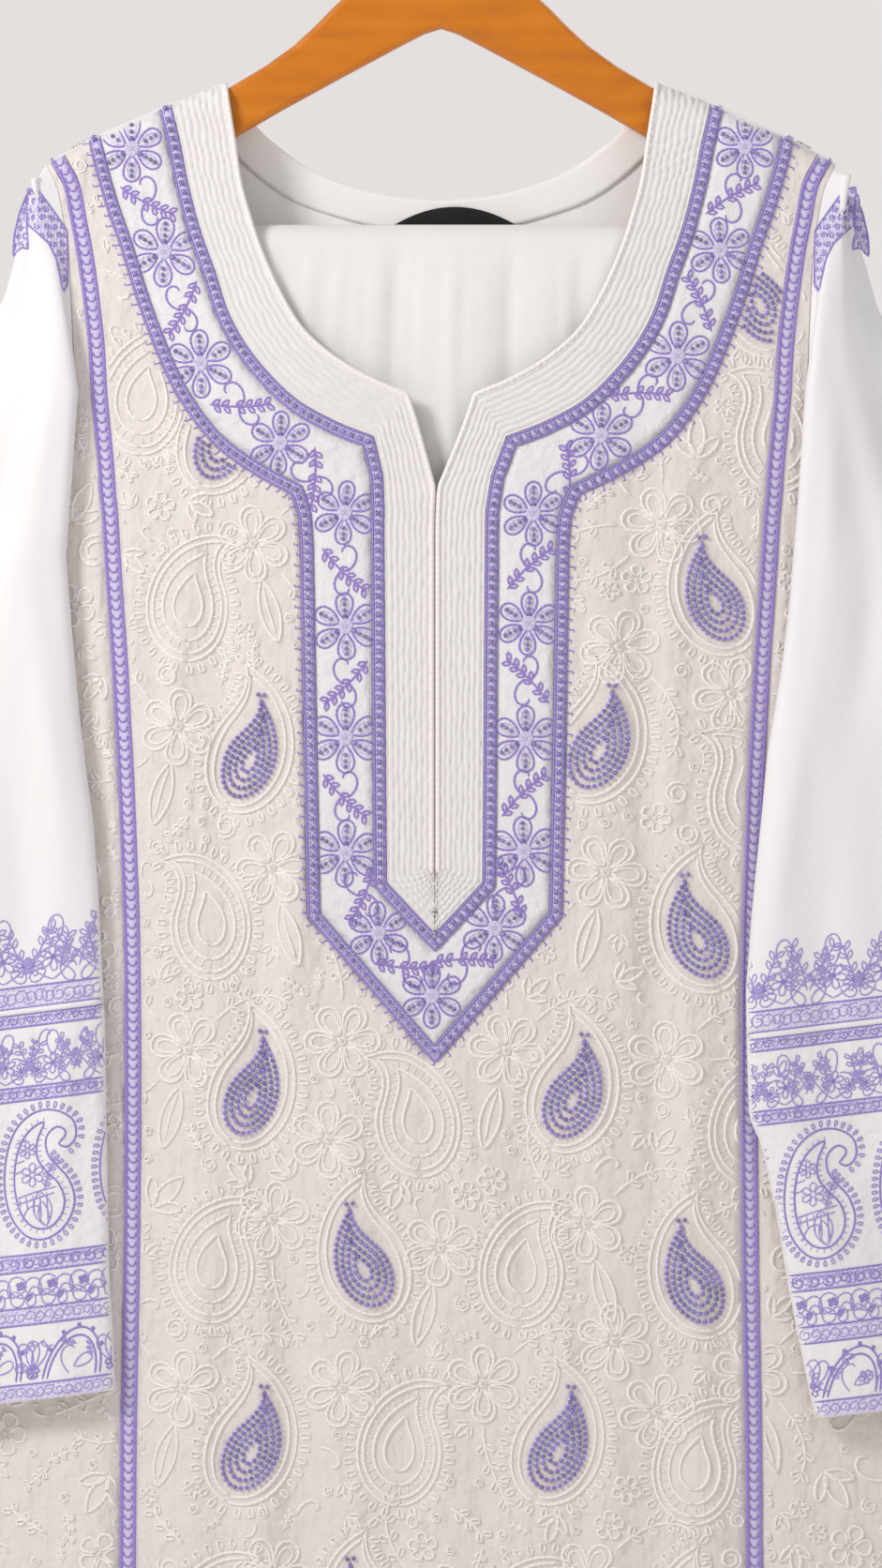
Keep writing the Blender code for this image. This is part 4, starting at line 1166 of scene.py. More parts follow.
def sew(name, paths, surface, material, width, height, step, lift=0.0):
    """Threads laid along paths on a surface, each a low rounded ridge closed at its ends."""
    sampled = [resampled(line, step) for line in paths if path_lengths(line)[-1] > step * 0.4]
    places = np.concatenate([points for points, _ in sampled])
    along = np.concatenate([place for _, place in sampled])
    counts = np.array([len(points) for points, _ in sampled])
    last = np.cumsum(counts) - 1
    first = last - counts + 1
    at, normal = surface_frame(surface, places)
    side = across_of(at, normal, first, last)
    size = np.ones(len(at))
    size[first] = size[last] = THREAD_END
    section = [at + normal * (lift + up * height * size)[:, None]
               + side * (across * width * size)[:, None] for across, up in THREAD_PROFILE]
    points = np.stack(section, axis=1).reshape(-1, 3)
    corners = len(THREAD_PROFILE)
    around = np.arange(corners) * width
    uv = np.stack([np.broadcast_to(around, (len(at), corners)),
                   np.broadcast_to(along[:, None], (len(at), corners))], axis=-1).reshape(-1, 2)
    starts = np.setdiff1d(np.arange(len(at)), last) * corners
    faces = []
    for corner in range(corners - 1):
        following = corner + 1
        near, near_following = starts + corner, starts + following
        far, far_following = near + corners, near_following + corners
        faces.append(np.stack([near_following, near, far], axis=1))
        faces.append(np.stack([near_following, far, far_following], axis=1))
    for corner in range(1, corners - 1):
        cap = np.array([0, corner, corner + 1])
        faces.append(first[:, None] * corners + cap[None, :])
        faces.append(last[:, None] * corners + cap[None, ::-1])
    return make_object(name, points, np.concatenate(faces), MATERIALS[material], uv)


# A bead's rings from below: radius and height, with its top as the last point
BEAD_RINGS = ((0.86, -0.5), (0.84, 0.54))
BEAD_SIDES = 8


def bead_template():
    turn = np.arange(BEAD_SIDES) * 2 * math.pi / BEAD_SIDES
    points = [(radius * math.cos(angle), radius * math.sin(angle), height)
              for radius, height in BEAD_RINGS for angle in turn]
    points += [(0.0, 0.0, -0.6), (0.0, 0.0, 1.0)]
    below, above = len(points) - 2, len(points) - 1
    faces = []
    for side in range(BEAD_SIDES):
        after = (side + 1) % BEAD_SIDES
        upper, upper_after = side + BEAD_SIDES, after + BEAD_SIDES
        faces += [(side, after, upper_after), (side, upper_after, upper)]
        faces += [(upper, upper_after, above), (after, side, below)]
    return np.array(points), np.array(faces)


def bead(name, places, surface, radius, lift):
    """Round beads sewn down at places on a surface, a little flattened."""
    places = np.asarray(places, float)
    at, normal = surface_frame(surface, places)
    side = unit(np.cross(normal, np.array([0.0, 0.0, 1.0])))
    upright = np.cross(side, normal)
    shape, shape_faces = bead_template()
    centre = at + normal * (lift + radius * 0.35)
    points = (centre[:, None, :]
              + side[:, None, :] * shape[None, :, 0:1] * radius
              + upright[:, None, :] * shape[None, :, 1:2] * radius
              + normal[:, None, :] * shape[None, :, 2:3] * radius * 0.85)
    starts = np.arange(len(places)) * len(shape)
    faces = (starts[:, None, None] + shape_faces[None]).reshape(-1, 3)
    return make_object(name, points.reshape(-1, 3), faces, MATERIALS["bead"])


def clipped(paths, inside, step=1.2):
    """The stretches of the paths whose points pass the test."""
    kept = []
    dense = [resampled(line, step)[0] for line in paths]
    tested = inside(np.concatenate(dense))
    masks = np.split(tested, np.cumsum([len(points) for points in dense])[:-1])
    for line, points, good in zip(paths, dense, masks):
        if good.all():
            kept.append(line)
            continue
        breaks = np.flatnonzero(np.diff(good.astype(int))) + 1
        for stretch, mask in zip(np.split(points, breaks), np.split(good, breaks)):
            if mask[0] and len(stretch) > 2:
                kept.append(stretch)
    return kept


def inside_outline(places, outline):
    x, z = places[:, 0:1], places[:, 1:2]
    start, end = outline, np.roll(outline, -1, axis=0)
    crosses = (start[:, 1] > z) != (end[:, 1] > z)
    rise = np.where(start[:, 1] == end[:, 1], 1.0, end[:, 1] - start[:, 1])
    reach = start[:, 0] + (z - start[:, 1]) * (end[:, 0] - start[:, 0]) / rise
    return (crosses & (x < reach)).sum(axis=1) % 2 == 1


# Motifs, in millimetres about their own origin, +y up
def moved(paths, x, z, turn=0.0, size=1.0, flip=False):
    angle = math.radians(turn)
    matrix = np.array([[math.cos(angle), -math.sin(angle)], [math.sin(angle), math.cos(angle)]])
    mirror = np.array([-1.0 if flip else 1.0, 1.0])
    return [(line * mirror * size) @ matrix + np.array([x, z]) for line in paths]


def drop(length, width, count=16):
    """A closed loop from its point at the origin to a round end."""
    turn = np.linspace(0.0, 2 * math.pi, count)
    y = length * (1 - np.cos(turn)) / 2
    x = width * 0.56 * np.sin(turn) * np.abs(np.sin(turn / 2)) ** 0.7
    return np.stack([x, y], axis=1)


def leaf(length, width, count=9):
    share = np.linspace(0.0, 1.0, count)
    side = width / 2 * np.sin(math.pi * share) ** 0.8
    up = np.stack([side, share * length], axis=1)
    return np.concatenate([up, (up * [-1, 1])[-2::-1]])


def stroke(length, heading, bend, curl=0.0, count=14):
    """A line that sets off at heading degrees from +y, bends evenly and may curl at its end."""
    share = np.linspace(0.0, 1.0, count)
    angle = np.radians(heading + bend * share + curl * share ** 3)
    steps = np.stack([np.sin(angle), np.cos(angle)], axis=1) * length / (count - 1)
    return np.concatenate([[[0.0, 0.0]], np.cumsum(steps[:-1], axis=0)])


def ring(radius, turns=1.6, count=18):
    share = np.linspace(0.0, 1.0, count)
    angle = share * turns * 2 * math.pi
    reach = radius * (1 - 0.62 * share)
    return np.stack([reach * np.cos(angle), reach * np.sin(angle)], axis=1)


def flower(radius, petals=6, width=0.62, heart=0.24):
    paths = []
    for petal in range(petals):
        turn = 360.0 * petal / petals
        paths += moved([drop(radius * (1 - heart), radius * width) + [0, radius * heart]],
                       0, 0, turn)
    return paths


def sprig(length, pairs, leaf_length, bend=14.0):
    """A bending stem with pairs of small leaves."""
    stem = stroke(length, -bend / 2, bend)
    paths = [stem]
    for pair in range(pairs):
        at = stem[int((pair + 0.8) / pairs * (len(stem) - 1))]
        for side in (-1, 1):
            turn = side * 42.0 + bend * (pair / pairs - 0.5)
            shift = 0.0 if side < 0 else leaf_length * 0.25
            paths += moved([drop(leaf_length, leaf_length * 0.5, 9)], at[0], at[1] - shift, turn)
    return paths


def paisley(height, width, bend, scale=1.0, slim=1.25, start=0.3, power=1.8, count=26):
    """A closed drop along a bending middle line, round at the foot, its tip bent aside."""
    fullest = 0.36
    share = np.linspace(0.0, 1.0, 60)
    angle = np.radians(bend) * np.clip((share - start) / (1 - start), 0, 1) ** power
    middle = np.cumsum(np.stack([np.sin(angle), np.cos(angle)], axis=1), axis=0)
    middle *= height / 60
    low, high = (1 - scale) * fullest, 1 - (1 - scale) * 0.6
    place = low + (high - low) * (1 - np.cos(np.linspace(0, math.pi, count))) / 2
    shape = (place - low) / (high - low)
    round_end = np.sqrt(np.clip(1 - (1 - shape / fullest) ** 2, 0, 1))
    taper = np.cos(math.pi / 2 * np.clip((shape - fullest) / (1 - fullest), 0, 1)) ** slim
    half = width / 2 * scale * np.where(shape < fullest, round_end, taper)
    centre = points_at(place, share, middle)
    lean = np.interp(place, share, angle)
    side = np.stack([np.cos(lean), -np.sin(lean)], axis=1) * half[:, None]
    outline = np.concatenate([centre + side, (centre - side)[-2::-1]])
    return outline - [0.0, height * 0.42]


def directions(points):
    """Unit directions along a line and to its left."""
    along = unit(np.gradient(points, axis=0))
    return along, np.stack([-along[:, 1], along[:, 0]], axis=1)


def fringe(outline, pitch, length, width, gap, looped=True):
    """Small drops or dashes standing out all round an outline that runs anticlockwise."""
    points, _ = resampled(outline, pitch)
    _, side = directions(points)
    paths = []
    for point, direction in zip(points[:-1], -side[:-1]):
        turn = math.degrees(math.atan2(direction[0], direction[1]))
        start = point + direction * gap
        shape = drop(length, width, 8) if looped else np.array([[0.0, 0.0], [0.0, length]])
        paths += moved([shape], start[0], start[1], turn)
    return paths


def dotted(line, pitch, first=0.0):
    """Places at even steps along a line."""
    lengths = path_lengths(line)
    count = max(1, int((lengths[-1] - first) / pitch))
    place = first + (np.arange(count) + 0.5) * (lengths[-1] - first) / count
    return points_at(place, lengths, line)


def on_photo(column, row):
    """A place on the cloth from a pixel of the photograph."""
    x = (column - CENTRE_COLUMN) * PIXEL
    z = TOP_ROW_HEIGHT - row * PIXEL
    return float(x - placket_lean(x, z)), z


# Beaded trims and seam strips; an outline is carried up in the direction of its first points
BEAD_PITCH = 4.4
STRIP_LOOP_PITCH = 4.5
RAISED_ALONG = 8
RAISED_BY = 30.0


def raised(line):
    """The line carried on upward from its first point."""
    along = line[0] - line[RAISED_ALONG]
    return np.concatenate([[line[0] + along / np.linalg.norm(along) * RAISED_BY], line])


def build_trim(name, line, ticks):
    """A stitched band with an edge thread each side, a row of beads and cross stitches."""
    half = TRIM_WIDTH / 2
    band = both_halves(between(shifted(line, -half, True), shifted(line, half, True), 4))
    crown = 1.5 + 0.5 * np.sin(np.linspace(0, math.pi, 5))[None, :]
    grid = on_front(band, crown)
    piece = cloth_piece(name + "_band", [(grid, True)], MATERIALS["pale_lavender"], name)
    declare_sheet(piece, [grid], 11, 1010 if ticks else 880)
    edges = [both_halves(shifted(line, side * 2.35, True)) for side in (-1, 1)]
    sew(name + "_edges", edges, body_surface, "lavender", 0.65, 0.7, 2.4, 0.5)
    middle = both_halves(line)
    places = dotted(middle, BEAD_PITCH)
    bead(name + "_beads", places, body_surface, 1.4, 1.25)
    points = dotted(middle, BEAD_PITCH / 2, BEAD_PITCH * 0.1)
    along, side = directions(points)
    stitches = []
    for offset in (-1.25, 1.25):
        start = points + side * offset - along * 0.6
        end = points + side * offset * 0.7 + along * 0.6
        stitches += [np.array(pair) for pair in zip(start, end)]
    sew(name + "_stitches", stitches, body_surface, "lavender", 0.3, 0.4, 1.6, 0.95)
    if ticks:
        points = dotted(middle, 5.0)
        along, side = directions(points)
        sign = np.where(np.arange(len(points)) % 2 == 0, 1.0, 0.7)[:, None]
        lines = []
        for point, out, down, reach in zip(points, side, along, sign):
            start = point + out * half
            bend = start + out * 3.5 * reach + down * 0.5
            lines.append(np.array([start, bend, bend + down * 1.1 - out * 0.3]))
        sew(name + "_ticks", lines, body_surface, "lavender", 0.42, 0.42, 1.2)


def build_strips(line):
    """Two chain-stitched edges with a ladder of loops between them."""
    for sign, side in ((1, "right"), (-1, "left")):
        half = line * [sign, 1]
        edges = [half + [offset, 0.0] for offset in (-3.1, 3.1)]
        name = "strip_" + side
        sew(name + "_edges", edges, body_surface, "lavender", 0.95, 0.8, 2.8)
        loops = []
        for x, z in dotted(half, STRIP_LOOP_PITCH):
            turn = np.radians(np.linspace(160, 380, 12))
            loop = np.stack([1.9 * np.cos(turn), 1.9 * np.sin(turn)], axis=1)
            loops.append(loop + [x, z])
        sew(name + "_loops", loops, body_surface, "lavender", 0.55, 0.7, 1.5)


# Border flowers and sprigs, each flower's centre by column and row of the photograph
BORDER_FLOWER_PIXELS = (
    (139, 157), (174, 268), (213, 388), (298, 473), (367, 547), (368, 668), (368, 787),
    (368, 910), (403, 995), (460, 1062), (527, 990), (558, 908), (560, 788), (563, 665),
    (568, 548), (640, 465), (722, 380), (768, 266), (795, 155),
)
BORDER_FLOWER_RADIUS = 16.8


def border_sprig():
    """A diagonal sprig with leaf pairs and two hooks that curl back."""
    paths = sprig(31.0, 6, 4.8, 20.0)
    hook = stroke(22.0, -20.0, 110.0, 150.0, 22)
    paths += moved([hook], 0.0, 15.0, -82.0)
    paths += moved([hook], 0.0, 17.0, 98.0)
    return moved(paths, 0.0, -15.5)


def build_border():
    centres = [on_photo(*pixel) for pixel in BORDER_FLOWER_PIXELS]
    radius = BORDER_FLOWER_RADIUS
    threads, inner, hearts, beads = [], [], [], []
    petal_beads = (0.32, 0.48, 0.66, 0.82)
    for index, (x, z) in enumerate(centres):
        turn = 3.0 * math.sin(index * 2.1)
        size = 0.95 + 0.05 * math.sin(index * 1.3)
        threads += moved(flower(radius, 6, 0.56, 0.2), x, z, turn, size)
        inner += moved(flower(radius * 0.88, 6, 0.34, 0.26), x, z, turn, size)
        hearts += moved([ring(3.6, 3.6, 40)], x, z, turn)
        hearts += moved([ring(1.0, 2.0, 12)], x, z)
        for petal in range(6):
            line = np.array([[0.0, radius * share * size] for share in petal_beads[petal % 2:]])
            beads += list(moved([line], x, z, turn + 60 * petal)[0])
    for index in range(len(centres) - 1):
        (x, z), (next_x, next_z) = centres[index], centres[index + 1]
        turn = math.degrees(math.atan2(next_x - x, next_z - z))
        lean = 46.0 if index % 2 else -46.0
        threads += moved(border_sprig(), (x + next_x) / 2, (z + next_z) / 2, turn + lean, 0.96,
                         index % 2 == 0)
    outline = both_halves(raised(shifted(FRONT_LINES["border"], -TRIM_WIDTH / 2, True)))
    hole = both_halves(raised(shifted(FRONT_LINES["yoke"], TRIM_WIDTH / 2, True)))

    def in_band(places):
        below_seam = places[:, 1] < lookup(SHOULDER_LINE, np.abs(places[:, 0])) - 1.5
        return inside_outline(places, outline) & ~inside_outline(places, hole) & below_seam

    sew("border_threads", clipped(threads, in_band), body_surface, "lavender",
        0.6, 0.55, 1.8)
    sew("border_petals", clipped(inner, in_band), body_surface, "pale_lavender",
        0.55, 0.4, 2.1)
    sew("border_hearts", clipped(hearts, in_band), body_surface, "pale_lavender",
        0.6, 0.8, 1.3)
    beads = np.array(beads)
    bead("border_beads", beads[in_band(beads)], body_surface, 1.15, 0.3)


# Beaded paisleys: column and row of the centre, 1 when the tip leans right or -1 left
BEADED_PAISLEY_PIXELS = (
    (268, 808, 1), (760, 640, -1), (640, 798, 1), (742, 1000, -1), (270, 1167, 1), (612, 1170, 1),
    (385, 1350, -1), (738, 1368, -1), (270, 1545, 1), (597, 1545, 1), (808, 322, -1),
    (240, 468, 1),
)
WHITE_PAISLEY_PIXELS = (
    (200, 640, 1), (225, 980, -1), (225, 1345, 1), (445, 1190, -1), (555, 1350, 1),
    (425, 1540, 1), (830, 460, -1), (800, 845, -1), (800, 1200, 1), (150, 420, 1),
    (740, 1560, 1),
)
WHITE_FLOWER_PIXELS = (
    (270, 580), (190, 775), (200, 1120), (365, 1110), (540, 1120), (625, 1305), (195, 1480),
    (365, 1480), (515, 1475), (700, 1505), (645, 930), (710, 1130), (705, 560), (290, 1300),
    (290, 925), (470, 1330), (660, 690), (780, 740), (350, 1215), (800, 1465), (655, 1430),
)

# The beaded paisley's height, width and bend, then its rings: scale and distance between beads
BEADED_PAISLEY = (50.0, 24.0, 46.0)
BEADED_TAPER = 1.5
BEADED_RINGS = ((1.0, 2.9), (0.76, 2.9), (0.52, 3.0), (0.28, 3.0))

# Radius of the fillers and how many places are tried for each, and the field they fill
FILLER_REACH = 296
FILLER_TOP = -160
FILLERS = ((11.0, 1500), (7.5, 5000), (5.0, 9000), (3.4, 9000))

# Below the photograph the motifs from this row on come again, this many rows further down
REPEAT_FROM_ROW = 1299
REPEAT_ROWS = 378
PHOTO_BOTTOM = -865.0


def with_repeats(pixels):
    """The motifs, and the lower ones again below the photograph down to the hem."""
    repeated = [list(row) for row in pixels]
    for times in (1, 2, 3):
        for row in pixels:
            if row[1] > REPEAT_FROM_ROW:
                lower = row[1] + times * REPEAT_ROWS
                if lower * PIXEL < TOP_ROW_HEIGHT - HEM_HEIGHT - 20:
                    repeated.append([row[0], lower, *row[2:]])
    return repeated


# How far the embroidery keeps from the trim, the strips, the side edges, the hem and the
# shoulder seam, and where it starts on the side panels
TRIM_MARGIN = 2.0
STRIP_MARGIN = 1.5
EDGE_MARGIN = 2.5
HEM_MARGIN = 4
SHOULDER_MARGIN = 3.0
SIDE_TOP = -200


def centre_panel(places):
    x, z = places[:, 0], places[:, 1]
    offset = TRIM_WIDTH / 2 + TRIM_MARGIN
    outline = both_halves(raised(shifted(FRONT_LINES["border"], offset, True)))
    strip = FRONT_LINES["strip"]
    reach = np.interp(z, strip[::-1, 1], strip[::-1, 0]) - STRIP_WIDTH / 2 - STRIP_MARGIN
    seam = lookup(SHOULDER_LINE, np.abs(x)) - SHOULDER_MARGIN
    in_height = (z < seam) & (z < outline[0, 1]) & (z > HEM_HEIGHT + HEM_MARGIN)
    return (np.abs(x) < reach) & ~inside_outline(places, outline) & in_height


def side_panel(places):
    x, z = np.abs(places[:, 0]), places[:, 1]
    strip, edge = FRONT_LINES["strip"], FRONT_LINES["edge"]
    low = np.interp(z, strip[::-1, 1], strip[::-1, 0]) + STRIP_WIDTH / 2 + STRIP_MARGIN
    high = np.interp(z, edge[::-1, 1], edge[::-1, 0]) - EDGE_MARGIN
    return (x > low) & (x < high) & (z > HEM_HEIGHT + HEM_MARGIN) & (z < SIDE_TOP)


def any_panel(places):
    return centre_panel(places) | side_panel(places)


class Ground:
    """Keeps track of what part of the cloth is already embroidered."""

    def __init__(self):
        self.circles = []

    def take(self, x, z, radius):
        self.circles.append((x, z, radius))

    def free(self, x, z, radius):
        if not self.circles:
            return True
        taken = np.array(self.circles)
        gap = np.hypot(taken[:, 0] - x, taken[:, 1] - z) - taken[:, 2]
        return gap.min() > radius


def small_motif(kind, size, chance):
    """A filler that fits a circle with the size as its radius: one of five kinds."""
    if kind == 0:
        return moved([ring(size * 0.8, 1.7)], 0, 0, chance.uniform(0, 360))
    if kind == 1:
        paths = moved([leaf(size * 1.9, size * 0.7)], 0, -size)
        paths += moved([leaf(size * 1.4, size * 0.5)], 0, -size, 46)
        paths += moved([leaf(size * 1.4, size * 0.5)], 0, -size, -46)
        return paths
    if kind == 2:
        return flower(size * 0.95, 5, 0.8, 0.2) + [ring(size * 0.14, 1.2, 8)]
    if kind == 3:
        paths = [stroke(size * 2.6, -30, 60, 190, 22)]
        return moved(paths, -size * 0.4, -size)
    paths = sprig(size * 1.9, 3, size * 0.5, 20)
    return moved(paths, 0, -size)


def draw_beaded_paisleys(ground, cords, fine):
    """Rings of beads one within another, with two beads at the tip and white work round them."""
    threads, beads = [], []
    around = paisley(76.0, 42.0, 64.0)
    for column, row, lean in with_repeats(BEADED_PAISLEY_PIXELS):
        x, z = on_photo(column, row)
        upright = lean > 0
        for scale, pitch in BEADED_RINGS:
            outline = paisley(*BEADED_PAISLEY, scale, BEADED_TAPER)
            for path in moved([outline], x, z, lean * 30, 1.0, upright):
                threads.append(path)
                beads.append(dotted(path, pitch))
        tip = paisley(*BEADED_PAISLEY, 1.0, BEADED_TAPER)[25] + np.array([[-0.4, 2.8], [2.4, 1.6]])
        beads.append(moved([tip], x, z, lean * 30, 1.0, upright)[0])
        cords += moved([around, paisley(68.0, 34.0, 60.0)], x, z + 3.0, lean * 24, 1.0, upright)
        fine += moved(fringe(around, 5.4, 6.0, 3.6, 1.2), x, z + 3.0, lean * 24, 1.0, upright)
        ground.take(x, z, 27.0)
        ground.take(x + lean * 8, z + 22, 18.0)
        ground.take(x + lean * 16, z + 38, 8.0)
    return threads, np.concatenate(beads)


def draw_white_paisleys(ground, cords, fine):
    shapes = [paisley(72.0, 40.0, 95.0, scale) for scale in (1.0, 0.86, 0.62, 0.36)]
    for column, row, lean in with_repeats(WHITE_PAISLEY_PIXELS):
        x, z = on_photo(column, row)
        cords += moved(shapes, x, z, 0, 1.0, lean < 0)
        fine += moved(fringe(shapes[0], 5.4, 6.0, 3.6, 1.2), x, z, 0, 1.0, lean < 0)
        fine += moved(fringe(shapes[2], 3.6, 3.4, 0, 0.8, False), x, z, 0, 1.0, lean < 0)
        ground.take(x, z - 4, 25.0)
        ground.take(x + lean * 8, z + 20, 15.0)


def draw_white_flowers(ground, cords, fine, chance):
    """Double flowers, each with two long leaves below it where there is room."""
    for column, row in with_repeats(WHITE_FLOWER_PIXELS):
        x, z = on_photo(column, row)
        turn = chance.uniform(0, 60)
        cords += moved(flower(18.5, 6, 0.66, 0.16), x, z, turn)
        fine += moved(flower(15.5, 6, 0.44, 0.2), x, z, turn)
        fine += moved([ring(2.4, 2.4, 20)], x, z)
        ground.take(x, z, 18.0)
        for side in (-1, 1):
            if ground.free(x + side * 9, z - 30, 9):
                cords += moved([leaf(32, 9.5)], x + side * 4, z - 17, 180 - side * 16)
                vein = np.array([[0.0, 3.0], [0.6, 15.0], [0.0, 27.0]])
                fine += moved([vein], x + side * 4, z - 17, 180 - side * 16)
                ground.take(x + side * 8, z - 30, 8.0)
                ground.take(x + side * 11, z - 42, 5.0)


def draw_stems(ground, fine):
    """Leafy stems that bend out from the flowers, where nothing else is sewn."""
    for column, row in with_repeats(WHITE_FLOWER_PIXELS):
        x, z = on_photo(column, row)
        for heading in range(0, 360, 45):
            bend = 55.0 if heading % 90 else -55.0
            stem = moved([stroke(44.0, 0.0, bend, 40.0, 20)], x, z, heading)[0]
            stem += (stem[1] - stem[0]) / np.linalg.norm(stem[1] - stem[0]) * 20.0
            if not all(ground.free(px, pz, 1.5) for px, pz in stem[2:15:3]):
                continue
            fine.append(stem)
            for index in range(4, 18, 4):
                turn = math.degrees(math.atan2(*(stem[index + 1] - stem[index])))
                for lean in (-48, 48):
                    fine += moved([drop(6.0, 3.2, 9)], *stem[index], turn + lean)
            for px, pz in stem[1::3]:
                ground.take(px, pz, 3.6)


def draw_fillers(ground, cords, fine, chance):
    """Small motifs in the room that is left; the smallest only where the photograph shows them."""
    for size, tries in FILLERS:
        for _ in range(tries):
            x = chance.uniform(-FILLER_REACH, FILLER_REACH)
            z = chance.uniform(HEM_HEIGHT, FILLER_TOP)
            if size < 6 and z < PHOTO_BOTTOM:
                continue
            if ground.free(x, z, size * 0.93) and any_panel(np.array([[x, z]]))[0]:
                kind = int(chance.integers(0, 5))
                if size < 4:
                    kind = 0
                paths = moved(small_motif(kind, size, chance), x, z,
                              chance.uniform(-70, 70) + 180 * chance.integers(0, 2))
                (cords if size > 7 else fine).extend(paths)
                ground.take(x, z, size)


def build_white_embroidery():
    chance = np.random.default_rng(31)
    ground = Ground()
    cords, fine = [], []
    threads, beads = draw_beaded_paisleys(ground, cords, fine)
    draw_white_paisleys(ground, cords, fine)
    draw_white_flowers(ground, cords, fine, chance)
    draw_stems(ground, fine)
    draw_fillers(ground, cords, fine, chance)
    sew("white_cords", clipped(cords, any_panel), body_surface, "cord", 0.72, 1.15, 2.9)
    sew("white_stitches", clipped(fine, any_panel), body_surface, "cord", 0.6, 0.95, 2.6)
    sew("paisley_threads", clipped(threads, centre_panel), body_surface, "pale_lavender",
        1.0, 0.45, 2.6)
    bead("paisley_beads", beads[any_panel(beads)], body_surface, 1.2, 0.4)


# Neck edge and centre seam
def build_neck_edge():
    for sign, side in ((1, "right"), (-1, "left")):
        neck = FRONT_LINES["neck"]
        line = (np.maximum(neck, [0.9, -1e4]) + [0.7, 0.0]) * [sign, 1]
        sew("neck_edge_" + side, [line], body_surface, "cord", 1.25, 1.5, 1.5)


def build_shoulder_seams():
    """A rolled seam along each shoulder, over the meeting edges of front and back."""
    x = np.linspace(104.0, 189.0, 50)
    line = np.stack([x, lookup(SHOULDER_LINE, x) - 0.02], axis=1)
    for sign, side in ((1, "right"), (-1, "left")):
        sew("shoulder_seam_" + side, [line * [sign, 1]], body_surface, "cord", 1.3, 0.7, 1.7)


build_trim("neck_trim_inner", FRONT_LINES["yoke"], False)
build_trim("neck_trim_outer", FRONT_LINES["border"], True)
build_strips(FRONT_LINES["strip"])
build_border()
build_white_embroidery()
build_neck_edge()
build_shoulder_seams()


# Sleeve borders, measured up from the cuff's edge:
# bands of loops by lower and upper edge, 1 where they are dark
BAND_ROWS = ((0.3, 8.0, 0), (36.5, 44.5, 0), (62.0, 70.0, 1), (144.0, 150.5, 1), (179.5, 185.3, 1),
             (188.5, 198.5, 0))
ARCS_FROM = 8.5
PETALS_FROM = 45.0
PAISLEYS_FROM = 70.5
FLORAL_FROM = 151.0
PIPING_AT = 186.9
SPRAYS_FROM = 199.0
SLEEVE_FIRST_MOTIF = {"left": -192.0, "right": 182.0}
PAISLEY_PITCH = 46.0
PETAL_PITCH = 15.0
ARCH_PITCH = 38.0


# A paisley with a hooked tip, as control points of its outer and inner outline
HOOKED_OUTER = (
    (9.0, 15.0), (13.5, 13.0), (17.5, 17.5), (16.0, 26.0), (8.0, 31.5), (-2.0, 32.0),
    (-11.0, 26.0), (-16.5, 14.0), (-18.0, -3.0), (-14.5, -19.0), (-6.0, -29.5), (4.0, -31.0),
    (13.0, -25.0), (17.0, -14.0), (14.0, -3.0), (8.5, 4.0), (3.5, 11.0), (3.0, 19.0),
    (8.0, 23.5), (12.5, 21.0), (11.5, 17.5),
)
HOOKED_INNER = (
    (2.0, 26.5), (-6.0, 22.5), (-11.5, 12.5), (-13.0, -3.0), (-10.0, -16.5), (-4.0, -24.5),
    (4.0, -26.0), (10.0, -21.0), (12.0, -13.0), (9.0, -4.5), (3.5, 1.5), (-1.5, 9.0), (-1.5, 18.0),
)


def spline_loop(points, steps=5):
    """A smooth closed line through the points."""
    rows = np.array([points[-1], *points, points[0], points[1]])
    line = [spline_point(rows, index, step / steps)
            for index in range(1, len(rows) - 2) for step in range(steps)]
    return np.array([*line, line[0]])


def sleeve_paisley():
    """A double outline with a hooked tip, a flower and leaves within, loops round it."""
    outer = spline_loop(HOOKED_OUTER)
    bold = [outer, spline_loop(HOOKED_INNER)]
    fine = fringe(outer[5:82], 3.3, 3.6, 1.9, 0.9)
    fine += fringe(bold[1], 3.0, 1.6, 0, 0.7, False)
    fine += moved(flower(6.0, 6, 0.6, 0.15), -4.0, 1.0)
    fine += moved(flower(4.4, 6, 0.6, 0.15), -6.5, 13.5)
    fine += moved([leaf(18.0, 9.0), leaf(13.0, 5.0)], 3.0, -25.0, -12)
    fine += moved(sprig(15.0, 4, 3.6), 2.0, -7.0, 20)
    fine += moved([stroke(16.0, 10, 60, 160, 16)], -9.0, -22.0)
    fine += [np.array([[-12.0, -10.0], [-2.0, -7.5], [8.0, -6.0]]),
             np.array([[-12.0, -13.0], [-3.0, -11.0], [7.0, -9.0]])]
    for step in range(5):
        x = -10.5 + 3.4 * step
        fine.append(np.array([[x, -10.0 + 0.5 * step], [x + 0.8, -14.0 - 2.2 * step]]))
    for step in range(4):
        y = 2.0 + 5.0 * step
        fine.append(np.array([[-13.5 + 0.4 * step, y], [-8.5 + 0.6 * step, y + 1.5]]))
    return bold, fine


